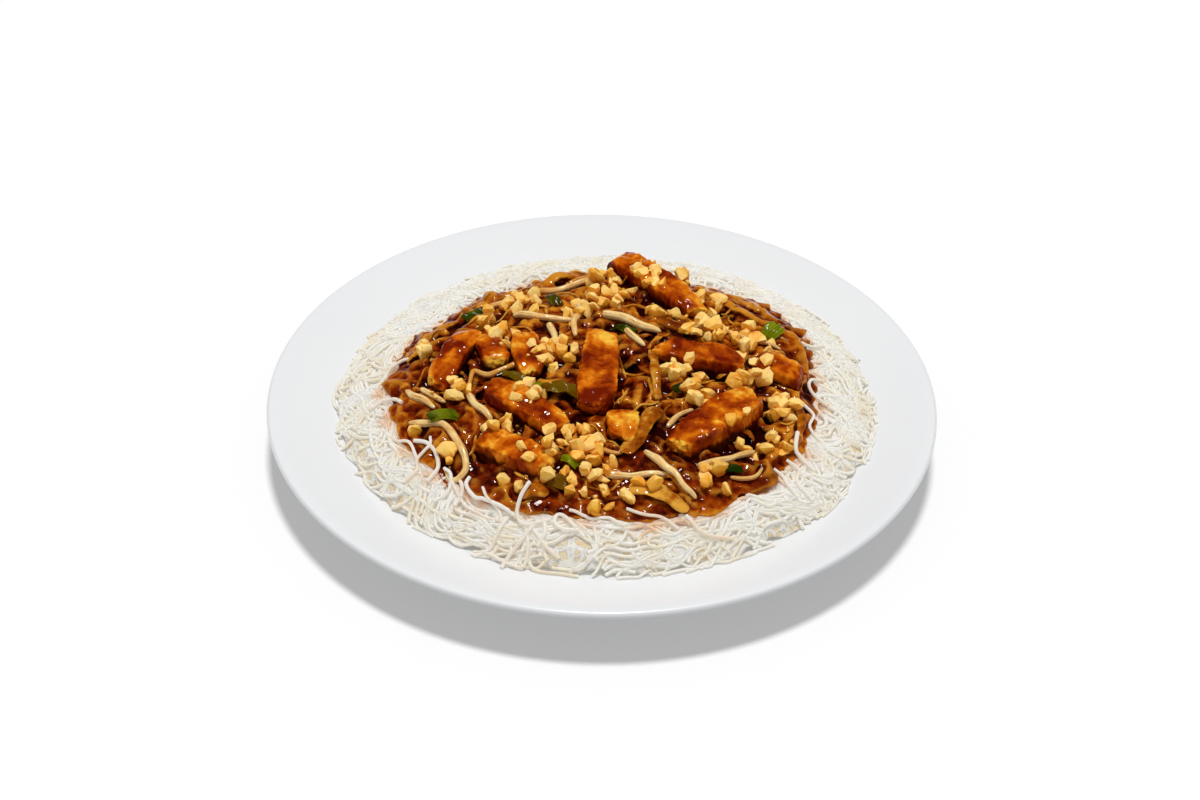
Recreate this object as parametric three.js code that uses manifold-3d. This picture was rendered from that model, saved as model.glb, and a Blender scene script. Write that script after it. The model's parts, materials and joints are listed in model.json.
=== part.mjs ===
// A chicken and bean sprout stir-fry with chopped peanuts, on rice vermicelli, on a round plate.
// Units are millimetres, +Z is up, and the origin is on the table under the middle of the plate.
// -Y is the side facing the diner and +X is on the diner's right.
import * as THREE from "three";
import { mergeVertices } from "three/addons/utils/BufferGeometryUtils.js";
import Module from "manifold-3d";

const wasm = await Module();
wasm.setup();

// ---------------------------------------------------------------- driving dimensions

const CLEARANCE = 0.35; // gap kept between neighbouring pieces
const WELD = 1e-4; // vertices closer than this are one

const PLATE = {
  radius: 150,
  height: 27,
  wellRadius: 85, // where the flat floor ends
  wallRadius: 104, // where the wall meets the sloping rim
  floorTop: 6,
  wallTop: 17,
  thickness: 4.2,
  rimThickness: 3.6,
  footOuter: 86,
  footInner: 80,
  footHeight: 1.6,
  segments: 64,
};

const BED = {
  radii: [122, 122, 121, 119, 118, 118, 119.5, 118, 118, 120, 121, 122], // from +X, every 30 degrees
  top: 33, // level of the noodles under the topping
  fall: 1.7, // exponent of the fall from that level to the edge
  gap: 0.5, // to the plate
  wave: 0.9, // height of the slow unevenness of the ring
  segments: 48,
};
const NOODLE = { diameter: 1.7, count: 32, points: 6, steps: 10, reach: 8, dip: 1.8, seed: 11 };

const HEAP = {
  radii: [95, 97, 87, 84, 82, 86, 95, 94, 93, 98, 101, 98], // from +X, every 30 degrees
  crown: 49, // height at the middle
  shoulder: 39, // height just inside the edge
  lean: 1.2, // the far side lies this much higher
  lump: 1.2,
  segments: 44,
};
const SHRED = { count: 14, width: 3, thickness: 1.8, length: 22, steps: 4, dip: 2, rise: 1, seed: 5 };

const PEANUT = { size: 5.6, share: 0.46, seat: 1.2, seed: 23 };
const SPROUT = { diameter: 3, sides: 5, step: 5.5 };
const STRIP = { step: 11, taper: 0.78, corner: 0.9, unevenness: 0.05, arch: 0.02, bow: 0.05, seed: 41 };
const LEAF = { thickness: 1.3, steps: 3 };
const BAND_STEP = 8; // length of a step along an onion band

// ---------------------------------------------------------------- layout

// Chicken strips: the two ends of the middle line, width across and thickness.
const CHICKEN = [
  { from: [4, 80, 46], to: [43, 34, 47], width: 14, thickness: 12 },
  { from: [-59, 14, 47], to: [-73, -19, 43], width: 12.5, thickness: 12 },
  { from: [-54, 11, 47], to: [-46, -8, 47], width: 11.5, thickness: 11 },
  { from: [-36, 11, 49], to: [-31, -17, 48], width: 12.5, thickness: 12 },
  { from: [-49, -25, 46], to: [-18, -53, 45], width: 14.5, thickness: 13 },
  { from: [0, 10, 51], to: [-3, -43, 49], width: 16.5, thickness: 12 },
  { from: [9, -44, 46], to: [9, -58, 45], width: 13.5, thickness: 13 },
  { from: [22, 2, 48], to: [63, -5, 46], width: 13.5, thickness: 12 },
  { from: [68, -1, 45], to: [88, -8, 41], width: 14.5, thickness: 12 },
  { from: [33, -64, 45], to: [67, -29, 45], width: 17.5, thickness: 15 },
  { from: [-52, -57, 42], to: [-23, -75, 42], width: 13.5, thickness: 12 },
];

// Bean sprouts: points [x, y, height of the middle above the bare heap].
const SPROUTS = [
  { points: [[-40, 31, 2], [-29, 26, 2.5], [-13, 24, 2]] },
  { points: [[-25, 22, 2], [-21, 6, 3]] },
  { points: [[-9, 41, 2], [-12, 24, 5.5], [-12, 8, 4]] },
  { points: [[-1, 28, 4], [11, 24, 4], [26, 15, 3]], diameter: 3.6 },
  { points: [[11, 14, 4], [19, 3, 3]] },
  { points: [[55, 22, 2], [67, 18, 2.5], [80, 14, 2.5]], diameter: 2.2 },
  { points: [[-87, -17, 2], [-80, -26, 2.5], [-73, -34, 2.5]] },
  { points: [[-80, -20, 3], [-68, -31, 3]], diameter: 2.6 },
  { points: [[-58, -28, 2.5], [-54, -37, 2.5], [-48, -46, 2.5]] },
  {
    points: [[-84, -39, 3], [-68, -46, 3.5], [-61, -58, 3], [-57, -71, 3], [-63, -74, 2], [-68, -65, 1.5]],
  },
  { points: [[2, -79, 2], [17, -78, 2.5], [30, -78, 2.5]] },
  { points: [[19, -66, 2], [25, -74, 6], [33, -82, 5], [40, -88, 2]] },
  { points: [[41, -72, 2], [53, -65, 2], [66, -57, 2]] },
  { points: [[-37, -9, 4], [-48, -15, 4], [-57, -14, 4], [-59, -21, 3]], diameter: 2.4 },
  { points: [[-6, -62, 2.5], [3, -64, 2.5], [9, -65, 2]], diameter: 2 },
  { points: [[28, -50, 2.5], [39, -38, 2.5]], diameter: 2.4 },
  { points: [[55, -74, 2], [65, -73, 2], [69, -66, 2]], diameter: 1.8 },
  { points: [[-33, 53, 2], [-18, 57, 2], [-4, 62, 2]] },
  { points: [[-52, 41, 2], [-41, 46, 2], [-35, 50, 2]] },
];

// Spring onion: middle [x, y, height above the bare heap], turn about Z and pitch in degrees.
const SPRING_ONION = [
  { at: [-69, -40, 3.5], length: 12, width: 7, turn: 20, pitch: -8, arch: 2.2 },
  { at: [-29, -27, 3], length: 10, width: 6.5, turn: -12, pitch: 4, arch: 1 },
  { at: [-58, 35, 3], length: 12, width: 5, turn: 22, pitch: 6, arch: 0.8 },
  { at: [10, 18, 2.5], length: 11, width: 5, turn: -30, pitch: 4, arch: 0.6 },
  { at: [76, 27, 2.5], length: 9, width: 9, turn: 40, pitch: 24, arch: 1.4 },
  { at: [37, -26, 3], length: 12, width: 5, turn: 8, pitch: -6, arch: 0.8 },
  { at: [54, -71, 3], length: 12, width: 6, turn: 10, pitch: -5, arch: 1.2 },
  { at: [-13, -72, 3], length: 7, width: 5, turn: -30, pitch: -10, arch: 0.8 },
  { at: [-23, 42, 3], length: 9, width: 5, turn: -60, pitch: 5, arch: 1 },
  { at: [-17, -30, 3], length: 19, width: 7, turn: -14, pitch: -2, arch: 2.4 },
  { at: [-39, -19, 3], length: 10, width: 5, turn: -25, pitch: 0, arch: 0.8 },
  { at: [-17, -82, 2], length: 13, width: 7, turn: -8, pitch: -8, arch: 1.2 },
];
// Onion bands: points as for the sprouts, width and thickness.
const ONION = [
  { points: [[21, -2, 6], [23, -16, 6], [24, -34, 4]], width: 4.5, thickness: 2 },
  { points: [[24, -38, 3], [18, -52, 3.5], [10, -68, 2.5]], width: 9, thickness: 2 },
  { points: [[24, 21, 4], [34, 18, 5], [44, 14, 5]], width: 7, thickness: 2 },
  { points: [[86, -22, 2.5], [87, -38, 2.5], [81, -54, 2]], width: 4, thickness: 2.2 },
  { points: [[12, -84, 2], [26, -88, 2.5], [37, -93, 2]], width: 9, thickness: 2.2 },
  { points: [[-34, -86, 2], [-28, -86, 4], [-22, -87, 2]], width: 9, thickness: 4 },
];

// Clusters of chopped peanuts: [x, y, spread, pieces].
const PEANUT_CLUSTERS = [
  [0, 60, 5, 6], [1, 42, 6, 8], [-12, 32, 7, 5], [-38, 40, 7, 6], [-54, 28, 4, 4], [-45, 9, 5, 6],
  [-22, -4, 8, 12], [21, 54, 6, 7], [38, 80, 5, 5], [27, 32, 5, 4], [49, 44, 5, 5], [46, 18, 7, 10],
  [66, 12, 8, 7], [68, -8, 5, 4], [36, -14, 6, 6], [42, -30, 5, 5], [60, -19, 3, 2], [79, -29, 5, 8],
  [62, -53, 5, 5], [75, -53, 4, 4], [48, -78, 6, 7], [-64, -24, 4, 5], [-80, -38, 8, 4], [-33, -34, 6, 6],
  [-44, -50, 4, 4], [-18, -62, 6, 5], [-1, -60, 7, 9], [-4, -76, 9, 9], [-28, -77, 8, 6], [-7, -90, 9, 7],
  [16, -88, 6, 3], [-82, 8, 3, 2],
];

// ---------------------------------------------------------------- helpers

const TAU = 2 * Math.PI;
const UP = new THREE.Vector3(0, 0, 1);

const clamp01 = (value) => Math.min(1, Math.max(0, value));
const mix = (a, b, share) => a + (b - a) * share;

// A repeatable stream of numbers from 0 to 1.
function seeded(seed) {
  let state = seed * 2654435761;
  return () => {
    state = (state + 0x6d2b79f5) | 0;
    let bits = Math.imul(state ^ (state >>> 15), 1 | state);
    bits = (bits + Math.imul(bits ^ (bits >>> 7), 61 | bits)) ^ bits;
    return ((bits ^ (bits >>> 14)) >>> 0) / 4294967296;
  };
}

// Radius at an angle, smoothly between radii given at even angles.
function around(radii, angle) {
  const place = ((((angle / TAU) % 1) + 1) % 1) * radii.length;
  const first = Math.floor(place);
  const f = place - first;
  const [a, b, c, d] = [-1, 0, 1, 2].map((k) => radii[(first + k + radii.length) % radii.length]);
  const slope = (c - a) * f;
  const square = (2 * a - 5 * b + 4 * c - d) * f * f;
  const cube = (3 * b - 3 * c + d - a) * f * f * f;
  return 0.5 * (2 * b + slope + square + cube);
}

// Upper face of the plate at a distance from its middle.
function plateTop(radius) {
  if (radius >= PLATE.wallRadius) {
    const share = (radius - PLATE.wallRadius) / (PLATE.radius - PLATE.wallRadius);
    return mix(PLATE.wallTop, PLATE.height, share);
  }
  const share = clamp01((radius - PLATE.wellRadius) / (PLATE.wallRadius - PLATE.wellRadius));
  return mix(PLATE.floorTop, PLATE.wallTop, share * share * (3 - 2 * share));
}

// Surface of the bare noodle bed.
function bedTop(x, y) {
  const angle = Math.atan2(y, x);
  const inner = around(HEAP.radii, angle);
  const outer = around(BED.radii, angle);
  const share = clamp01((Math.hypot(x, y) - inner) / (outer - inner));
  const edge = plateTop(outer) + NOODLE.diameter;
  const wave = BED.wave * Math.sin(7 * angle + 0.4) * Math.sin(Math.PI * share);
  return mix(BED.top, edge, share ** BED.fall) + wave;
}

// Surface of the bare stir-fry heap.
function heapTop(x, y) {
  const radius = around(HEAP.radii, Math.atan2(y, x));
  const share = Math.min(1, Math.hypot(x, y) / radius);
  const dome = mix(HEAP.crown, HEAP.shoulder, share * share) + (HEAP.lean * y) / radius;
  const broad = Math.sin(0.11 * x + 1.3) * Math.cos(0.13 * y - 0.4);
  const fine = 0.6 * Math.sin(0.21 * x - 0.17 * y);
  const lump = HEAP.lump * (broad + fine) * (1 - share ** 4);
  return BED.top + (dome + lump - BED.top) * Math.sqrt(Math.max(0, 1 - share ** 8));
}

const onHeap = ([x, y, rise]) => new THREE.Vector3(x, y, heapTop(x, y) + rise);

// A closed geometry as a solid, with its faces turned outwards.
function solidOf(geometry) {
  const bare = new THREE.BufferGeometry().setAttribute("position", geometry.getAttribute("position"));
  if (geometry.index) bare.setIndex(geometry.index);
  const merged = mergeVertices(bare, WELD);
  const corners = [];
  for (let i = 0; i < merged.index.count; i += 3) {
    const [a, b, c] = [0, 1, 2].map((k) => merged.index.getX(i + k));
    if (a !== b && b !== c && c !== a) corners.push(a, b, c);
  }
  const build = (triVerts) =>
    new wasm.Manifold(
      new wasm.Mesh({
        numProp: 3,
        vertProperties: new Float32Array(merged.attributes.position.array),
        triVerts: new Uint32Array(triVerts),
      }),
    );
  const solid = build(corners);
  return solid.volume() > 0 ? solid : build(corners.reverse());
}

// The largest body of a solid, so that cuts leave no loose scraps.
function largestBody(solid) {
  return solid.decompose().reduce((best, body) => (body.volume() > best.volume() ? body : best));
}

function geometryOf(solid) {
  const { vertProperties, triVerts } = solid.getMesh();
  const geometry = new THREE.BufferGeometry();
  geometry.setAttribute("position", new THREE.BufferAttribute(vertProperties, 3));
  geometry.setIndex(new THREE.BufferAttribute(triVerts, 1));
  geometry.computeVertexNormals();
  return geometry;
}

function surface(color, roughness) {
  return new THREE.MeshStandardMaterial({ color, roughness, metalness: 0 });
}

// Moves every vertex of a geometry.
function eachVertex(geometry, move) {
  const position = geometry.getAttribute("position");
  const point = new THREE.Vector3();
  for (let i = 0; i < position.count; i += 1) {
    point.fromBufferAttribute(position, i);
    move(point, i);
    position.setXYZ(i, point.x, point.y, point.z);
  }
  return geometry;
}

// ---------------------------------------------------------------- shapes

// A box bent along a curve: x runs along it, y across and z up from it. The shape function
// scales the section by the share of the length passed and the corner's side and level.
function barAlong(curve, width, thickness, cuts, shape, grow) {
  const bar = new THREE.BoxGeometry(1, 1, 1, ...cuts);
  return eachVertex(bar, (point) => {
    const share = clamp01(0.5 + point.x);
    const tangent = curve.getTangentAt(share);
    const side = new THREE.Vector3().crossVectors(UP, tangent).normalize();
    const normal = new THREE.Vector3().crossVectors(tangent, side);
    const scale = shape(share, Math.sign(point.y), Math.sign(point.z));
    const across = point.y * (width * scale + 2 * grow);
    const above = point.z * (thickness * scale + 2 * grow);
    const beyond = (2 * share - 1) ** 9 * grow;
    point.copy(curve.getPointAt(share)).addScaledVector(tangent, beyond);
    point.addScaledVector(side, across).addScaledVector(normal, above);
  });
}

// A round strand along a curve.
function strandAlong(curve, diameter, sides, steps) {
  const corner = (_, i) => {
    const angle = ((i + 0.5) / sides) * TAU;
    return new THREE.Vector2(Math.cos(angle), Math.sin(angle)).multiplyScalar(diameter / 2);
  };
  const section = new THREE.Shape(Array.from({ length: sides }, corner));
  return new THREE.ExtrudeGeometry(section, { extrudePath: curve, steps, bevelEnabled: false });
}

// A closed skin of rings round the Z axis; each ring gives its [radius, height] at an angle.
function ringSolid(rings, segments) {
  const last = rings.length - 1;
  const profile = rings.map((_, j) => new THREE.Vector2(Math.sin((Math.PI * j) / last), -j));
  const skin = new THREE.LatheGeometry(profile, segments);
  eachVertex(skin, (point, index) => {
    const angle = (Math.floor(index / rings.length) / segments) * TAU;
    const [radius, height] = rings[index % rings.length](angle);
    point.set(radius * Math.cos(angle), radius * Math.sin(angle), height);
  });
  return solidOf(skin);
}

// ---------------------------------------------------------------- plate and noodles

function makePlate() {
  const { radius, height, thickness, rimThickness, footOuter, footInner, footHeight } = PLATE;
  const wall = [0, 0.33, 0.67, 1].map((share) => mix(PLATE.wellRadius, PLATE.wallRadius, share));
  const profile = [
    [0, PLATE.floorTop],
    ...wall.map((r) => [r, plateTop(r)]),
    [radius - 1.2, plateTop(radius - 1.2)],
    [radius, height - 1.4],
    [radius - 1.4, height - rimThickness],
    [PLATE.wallRadius, PLATE.wallTop - thickness],
    [footOuter + 6, plateTop(footOuter + 6) - thickness],
    [footOuter + 0.8, footHeight],
    [footOuter, 0],
    [footInner, 0],
    [footInner - 0.8, footHeight],
    [0, footHeight],
  ];
  return ringSolid(profile.map((ring) => () => ring), PLATE.segments);
}

function makeBedCore() {
  const bedRing = (share) => (angle) => {
    const radius = mix(around(HEAP.radii, angle) + 1, around(BED.radii, angle), share);
    return [radius, bedTop(radius * Math.cos(angle), radius * Math.sin(angle))];
  };
  const resting = (radius) => [radius, plateTop(radius) + BED.gap];
  const floors = [1, 0.67, 0.33, 0].map((share) => mix(PLATE.wellRadius, PLATE.wallRadius, share));
  return ringSolid(
    [
      () => [0, BED.top],
      ...[0, 0.35, 0.62, 0.84, 1].map(bedRing),
      (angle) => resting(around(BED.radii, angle) - 0.6),
      ...floors.map((radius) => () => resting(radius)),
      () => [0, PLATE.floorTop + BED.gap],
    ],
    BED.segments,
  );
}

// One noodle wandering over the ring of bare noodles, both ends tucked in.
function noodleCurve(random, number) {
  let angle = ((number + 0.7 * random()) / NOODLE.count) * TAU;
  let share = 0.14 + 0.74 * ((number * 0.382) % 1);
  let heading = TAU * random();
  const bend = (random() < 0.5 ? -1 : 1) * (0.5 + 0.8 * random());
  const points = [];
  for (let i = 0; i < NOODLE.points; i += 1) {
    const inner = around(HEAP.radii, angle) + NOODLE.diameter + 1;
    const outer = around(BED.radii, angle) - NOODLE.diameter;
    const radius = mix(inner, outer, share);
    const [x, y] = [radius * Math.cos(angle), radius * Math.sin(angle)];
    const tucked = i === 0 || i === NOODLE.points - 1;
    const rise = tucked ? -NOODLE.dip : NOODLE.diameter * (0.55 + 0.35 * random());
    points.push(new THREE.Vector3(x, y, bedTop(x, y) + rise));
    heading += bend + 0.9 * (random() - 0.5);
    angle += (NOODLE.reach * Math.cos(heading)) / radius;
    share = Math.min(0.96, Math.max(0.04, share + (NOODLE.reach * Math.sin(heading)) / (outer - inner)));
  }
  return new THREE.CatmullRomCurve3(points, false, "centripetal");
}

function makeNoodleBed() {
  const random = seeded(NOODLE.seed);
  let bed = makeBedCore();
  for (let number = 0; number < NOODLE.count; number += 1) {
    const curve = noodleCurve(random, number);
    bed = bed.add(solidOf(strandAlong(curve, NOODLE.diameter, 4, NOODLE.steps)));
  }
  return largestBody(bed);
}

// ---------------------------------------------------------------- toppings

// Each maker returns its solid; a positive grow makes the same piece that much bigger all round.

// A chicken strip: a fried baton with blunt, uneven ends.
function makeChicken({ from, to, width, thickness }, number, grow) {
  const random = seeded(STRIP.seed + number);
  const [a, b] = [new THREE.Vector3(...from), new THREE.Vector3(...to)];
  const length = a.distanceTo(b);
  const bow = STRIP.bow * length * (random() - 0.5);
  const middle = a.clone().lerp(b, 0.5).add(new THREE.Vector3(bow, bow, STRIP.arch * length));
  const curve = new THREE.CatmullRomCurve3([a, middle, b]);
  const steps = Math.max(2, Math.round(length / STRIP.step));
  const phases = [random(), random(), random()].map((share) => share * TAU);
  const shape = (share, y, z) => {
    const blunt = mix(1, STRIP.taper, Math.abs(2 * share - 1) ** 4);
    const corner = y * z === 0 ? 1 : STRIP.corner;
    const swell = 1 + STRIP.unevenness * Math.sin(7 * share + phases[0] + 2 * Math.sign(y));
    return blunt * corner * (swell + STRIP.unevenness * Math.sin(11 * share + phases[1] + Math.sign(z)));
  };
  return solidOf(barAlong(curve, width, thickness, [steps, 2, 2], shape, grow));
}

function makeSprout({ points, diameter = SPROUT.diameter }, number, grow) {
  const curve = new THREE.CatmullRomCurve3(points.map(onHeap), false, "centripetal");
  const steps = Math.max(3, Math.round(curve.getLength() / SPROUT.step));
  return solidOf(strandAlong(curve, diameter + 2 * grow, SPROUT.sides, steps));
}

// An onion strip: a thin wavy band.
function makeOnion({ points, width, thickness }, number, grow) {
  const curve = new THREE.CatmullRomCurve3(points.map(onHeap), false, "centripetal");
  const steps = Math.max(3, Math.round(curve.getLength() / BAND_STEP));
  const shape = (share) => 1 - 0.3 * Math.abs(2 * share - 1) ** 3;
  return solidOf(barAlong(curve, width, thickness, [steps, 2, 1], shape, grow));
}

// A piece of spring onion: a short arched leaf with narrower ends.
function makeSpringOnion({ at, length, width, turn, pitch, arch }, number, grow) {
  const middle = onHeap(at);
  const reach = new THREE.Vector3(length / 2, 0, 0)
    .applyAxisAngle(new THREE.Vector3(0, 1, 0), -THREE.MathUtils.degToRad(pitch))
    .applyAxisAngle(UP, THREE.MathUtils.degToRad(turn));
  const start = middle.clone().sub(reach);
  const end = middle.clone().add(reach);
  middle.z += arch;
  const curve = new THREE.CatmullRomCurve3([start, middle, end]);
  const shape = (share, y) => (y === 0 ? 1 : 1 - 0.35 * Math.abs(2 * share - 1) ** 2);
  return solidOf(barAlong(curve, width, LEAF.thickness, [LEAF.steps, 2, 1], shape, grow));
}

// A chopped peanut: an uneven lump with 20 faces.
function makePeanut(centre, seed, grow) {
  const random = seeded(seed);
  const ball = new THREE.IcosahedronGeometry(1, 0);
  const lump = mergeVertices(ball.deleteAttribute("normal").deleteAttribute("uv"), WELD);
  eachVertex(lump, (point) => point.multiplyScalar(0.86 + 0.26 * random()));
  const half = PEANUT.size * (0.4 + 0.2 * random());
  lump.scale(half + grow, half * (0.7 + 0.25 * random()) + grow, half * (0.6 + 0.2 * random()) + grow);
  lump.rotateX(0.5 * (random() - 0.5)).rotateY(0.5 * (random() - 0.5)).rotateZ(TAU * random());
  return solidOf(lump.translate(centre.x, centre.y, centre.z));
}

// ---------------------------------------------------------------- assembly

const model = new THREE.Group();

// Colour and roughness of each kind of topping.
const FINISH = {
  chicken: [0xb8641c, 0.3],
  sprout: [0xe6d9b0, 0.35],
  onion: [0xb87a2a, 0.25],
  spring_onion: [0x5f8f1e, 0.35],
};

function addPiece(name, solid, color, roughness) {
  const mesh = new THREE.Mesh(geometryOf(solid), surface(color, roughness));
  mesh.name = name;
  model.add(mesh);
  return mesh;
}

// Toppings in the order in which they lie: each is cut clear of those before it.
const taken = [];

function makeToppings(kind, table, make) {
  return table.map((entry, i) => {
    const cut = taken.reduce((rest, other) => rest.subtract(other), make(entry, i, 0));
    taken.push(make(entry, i, CLEARANCE));
    return { name: `${kind}_${i + 1}`, solid: largestBody(cut) };
  });
}

function makeHeapCore() {
  const shares = [0.24, 0.46, 0.66, 0.82, 0.93, 0.985];
  const ring = (share) => (angle) => {
    const radius = share * around(HEAP.radii, angle);
    return [radius, heapTop(radius * Math.cos(angle), radius * Math.sin(angle))];
  };
  const floor = BED.top + CLEARANCE;
  return ringSolid(
    [
      () => [0, heapTop(0, 0)],
      ...shares.map(ring),
      (angle) => [around(HEAP.radii, angle), floor + 1.5],
      (angle) => [around(HEAP.radii, angle) - 1, floor],
      () => [0, floor],
    ],
    HEAP.segments,
  );
}

// A shred in the sauce: a short band whose ends are tucked into the heap.
function makeShred(random) {
  const angle = TAU * random();
  const distance = around(HEAP.radii, angle) * Math.sqrt(0.1 + 0.62 * random());
  const centre = new THREE.Vector2(distance, 0).rotateAround(new THREE.Vector2(), angle);
  const heading = TAU * random();
  const curl = 0.6 * (random() - 0.5);
  const points = [-0.5, -0.2, 0.2, 0.5].map((share) => {
    const rise = Math.abs(share) === 0.5 ? -SHRED.dip : SHRED.rise;
    const step = new THREE.Vector2(SHRED.length * share, 0);
    const [x, y] = step.rotateAround(new THREE.Vector2(), heading + curl * share).add(centre).toArray();
    return onHeap([x, y, rise]);
  });
  const curve = new THREE.CatmullRomCurve3(points);
  return solidOf(barAlong(curve, SHRED.width, SHRED.thickness, [SHRED.steps, 1, 1], () => 1, 0));
}

// Chopped peanuts of every cluster, each with its place and its own seed.
function scatterPeanuts() {
  const random = seeded(PEANUT.seed);
  return PEANUT_CLUSTERS.flatMap(([x, y, spread, pieces]) =>
    Array.from({ length: Math.max(1, Math.round(pieces * PEANUT.share)) }, () => {
      const reach = spread * Math.sqrt(random());
      const angle = TAU * random();
      const seed = Math.floor(1e6 * random());
      return { x: x + reach * Math.cos(angle), y: y + reach * Math.sin(angle), seed };
    }),
  );
}

const meshOf = (solid) => new THREE.Mesh(geometryOf(solid));

// What lies under a point, looking down.
function surfaceBelow(meshes, x, y) {
  const ray = new THREE.Raycaster(new THREE.Vector3(x, y, 200), new THREE.Vector3(0, 0, -1));
  return ray.intersectObjects(meshes)[0];
}

// True where a piece would cross one of the others.
const crosses = (solid, others) => others.some((other) => solid.intersect(other).volume() > 0);

// Fuses each peanut to the chicken strip or the bare heap under it, and returns the heap.
// A peanut that would cross another piece is left out.
function fusePeanuts(heap) {
  const surfaces = [meshOf(heap), ...toppings.map(({ solid }) => meshOf(solid))];
  const grown = [];
  for (const { x, y, seed } of scatterPeanuts()) {
    const edge = around(HEAP.radii, Math.atan2(y, x)) - PEANUT.size;
    const hit = surfaceBelow(surfaces, x, y);
    const owner = hit ? surfaces.indexOf(hit.object) - 1 : Infinity;
    if (Math.hypot(x, y) > edge || owner >= chicken.length) continue;
    const centre = hit.point.setZ(hit.point.z + PEANUT.seat);
    const nut = makePeanut(centre, seed, 0);
    const larger = makePeanut(centre, seed, CLEARANCE);
    if (crosses(larger, [...taken.filter((_, i) => i !== owner), ...grown])) continue;
    grown.push(larger);
    if (owner < 0) heap = heap.add(nut);
    else toppings[owner].solid = toppings[owner].solid.add(nut);
    if (owner >= 0) overhanging.push(larger);
  }
  return heap;
}

function makeHeap() {
  const random = seeded(SHRED.seed);
  const core = makeHeapCore();
  const pockets = taken.filter((other) => crosses(core, [other]));
  let heap = fusePeanuts(pockets.reduce((rest, other) => rest.subtract(other), core));
  for (let i = 0; i < SHRED.count; i += 1) {
    const shred = makeShred(random);
    if (!crosses(shred, [...taken, ...overhanging])) heap = heap.add(shred);
  }
  const floor = BED.top + CLEARANCE;
  const noodles = new THREE.BoxGeometry(3 * PLATE.radius, 3 * PLATE.radius, floor);
  const clear = [...overhanging, solidOf(noodles.translate(0, 0, floor / 2))];
  return largestBody(clear.reduce((rest, other) => rest.subtract(other), heap));
}

// ---------------------------------------------------------------- model

const chicken = makeToppings("chicken", CHICKEN, makeChicken);
const sprouts = makeToppings("sprout", SPROUTS, makeSprout);
const onions = makeToppings("onion", ONION, makeOnion);
const springOnions = makeToppings("spring_onion", SPRING_ONION, makeSpringOnion);
const toppings = [...chicken, ...sprouts, ...onions, ...springOnions];
const overhanging = []; // peanuts on the chicken, grown by the clearance
const heap = makeHeap();

addPiece("plate", makePlate(), 0xf4f5f5, 0.18);
addPiece("noodle_bed", makeNoodleBed(), 0xf1efe6, 0.45);
addPiece("stir_fry_heap", heap, 0x8a3a12, 0.25);
for (const { name, solid } of toppings) {
  const kind = name.replace(/_\d+$/, "");
  addPiece(name, largestBody(solid), ...FINISH[kind]);
}

export default model;
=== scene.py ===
"""The looks of a plated noodle dish: chicken stir-fry with bean sprouts and peanuts on vermicelli.

Tables and measures are millimetres, and meshes are made in metres. +Z is up, the plate stands on
z = 0, -Y is the side that faces the diner and +X is on the diner's right.
"""
import json
import math

import bmesh
import bpy
import numpy as np
from mathutils import Matrix, Vector
from mathutils.bvhtree import BVHTree
from mathutils.kdtree import KDTree

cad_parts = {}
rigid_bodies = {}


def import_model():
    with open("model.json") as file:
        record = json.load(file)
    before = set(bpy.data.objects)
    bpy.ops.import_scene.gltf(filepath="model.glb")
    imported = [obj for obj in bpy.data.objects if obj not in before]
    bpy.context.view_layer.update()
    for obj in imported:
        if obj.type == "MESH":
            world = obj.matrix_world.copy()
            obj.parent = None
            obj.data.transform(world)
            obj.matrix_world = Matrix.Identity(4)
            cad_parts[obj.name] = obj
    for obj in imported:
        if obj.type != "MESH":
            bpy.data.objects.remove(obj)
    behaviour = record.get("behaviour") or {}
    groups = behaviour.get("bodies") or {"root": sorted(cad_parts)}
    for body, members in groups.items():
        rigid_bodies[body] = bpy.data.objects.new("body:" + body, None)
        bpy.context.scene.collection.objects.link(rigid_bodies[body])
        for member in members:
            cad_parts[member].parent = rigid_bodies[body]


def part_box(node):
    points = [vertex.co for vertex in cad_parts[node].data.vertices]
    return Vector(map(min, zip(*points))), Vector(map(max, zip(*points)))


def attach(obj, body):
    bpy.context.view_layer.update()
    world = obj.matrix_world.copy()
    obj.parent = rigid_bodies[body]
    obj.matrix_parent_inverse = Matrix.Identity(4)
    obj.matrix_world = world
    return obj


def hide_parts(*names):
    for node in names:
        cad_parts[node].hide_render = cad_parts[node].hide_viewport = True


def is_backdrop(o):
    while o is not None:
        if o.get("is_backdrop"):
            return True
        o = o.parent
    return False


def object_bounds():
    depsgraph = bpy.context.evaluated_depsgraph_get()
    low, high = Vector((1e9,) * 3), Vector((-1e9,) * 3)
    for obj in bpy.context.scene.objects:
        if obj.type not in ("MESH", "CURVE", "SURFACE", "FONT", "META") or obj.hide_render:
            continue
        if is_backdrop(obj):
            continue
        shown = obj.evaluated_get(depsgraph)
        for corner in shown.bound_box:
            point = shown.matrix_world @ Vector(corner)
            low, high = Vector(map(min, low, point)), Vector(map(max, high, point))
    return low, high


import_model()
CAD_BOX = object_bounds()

bl_info = {
    "name": "Plated Noodle Dish",
    "version": (1, 0, 0),
    "blender": (4, 5, 0),
    "location": "View3D > Sidebar > Noodle Dish",
    "description": "Builds a plate of rice vermicelli with a chicken stir-fry on it",
    "category": "Add Mesh",
}

MM = 0.001
TAU = 2 * math.pi

# ------------------------------------------------------------------ shape of the dish

PLATE_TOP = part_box("plate")[1].z / MM
PLATE_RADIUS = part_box("plate")[1].x / MM
WELL_RADIUS = 85  # where the flat floor ends
WALL_RADIUS = 104  # where the wall meets the sloping rim
WELL_LEVEL = 6  # height of the flat floor
WALL_LEVEL = 17  # height at which the wall ends
PLATE_THICKNESS = 4.2
LIP_RADIUS = 1.8  # rounding of the rim's edge
FOOT = (80, 86)  # inner and outer radius of the foot ring
FOOT_HEIGHT = 1.6

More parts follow.
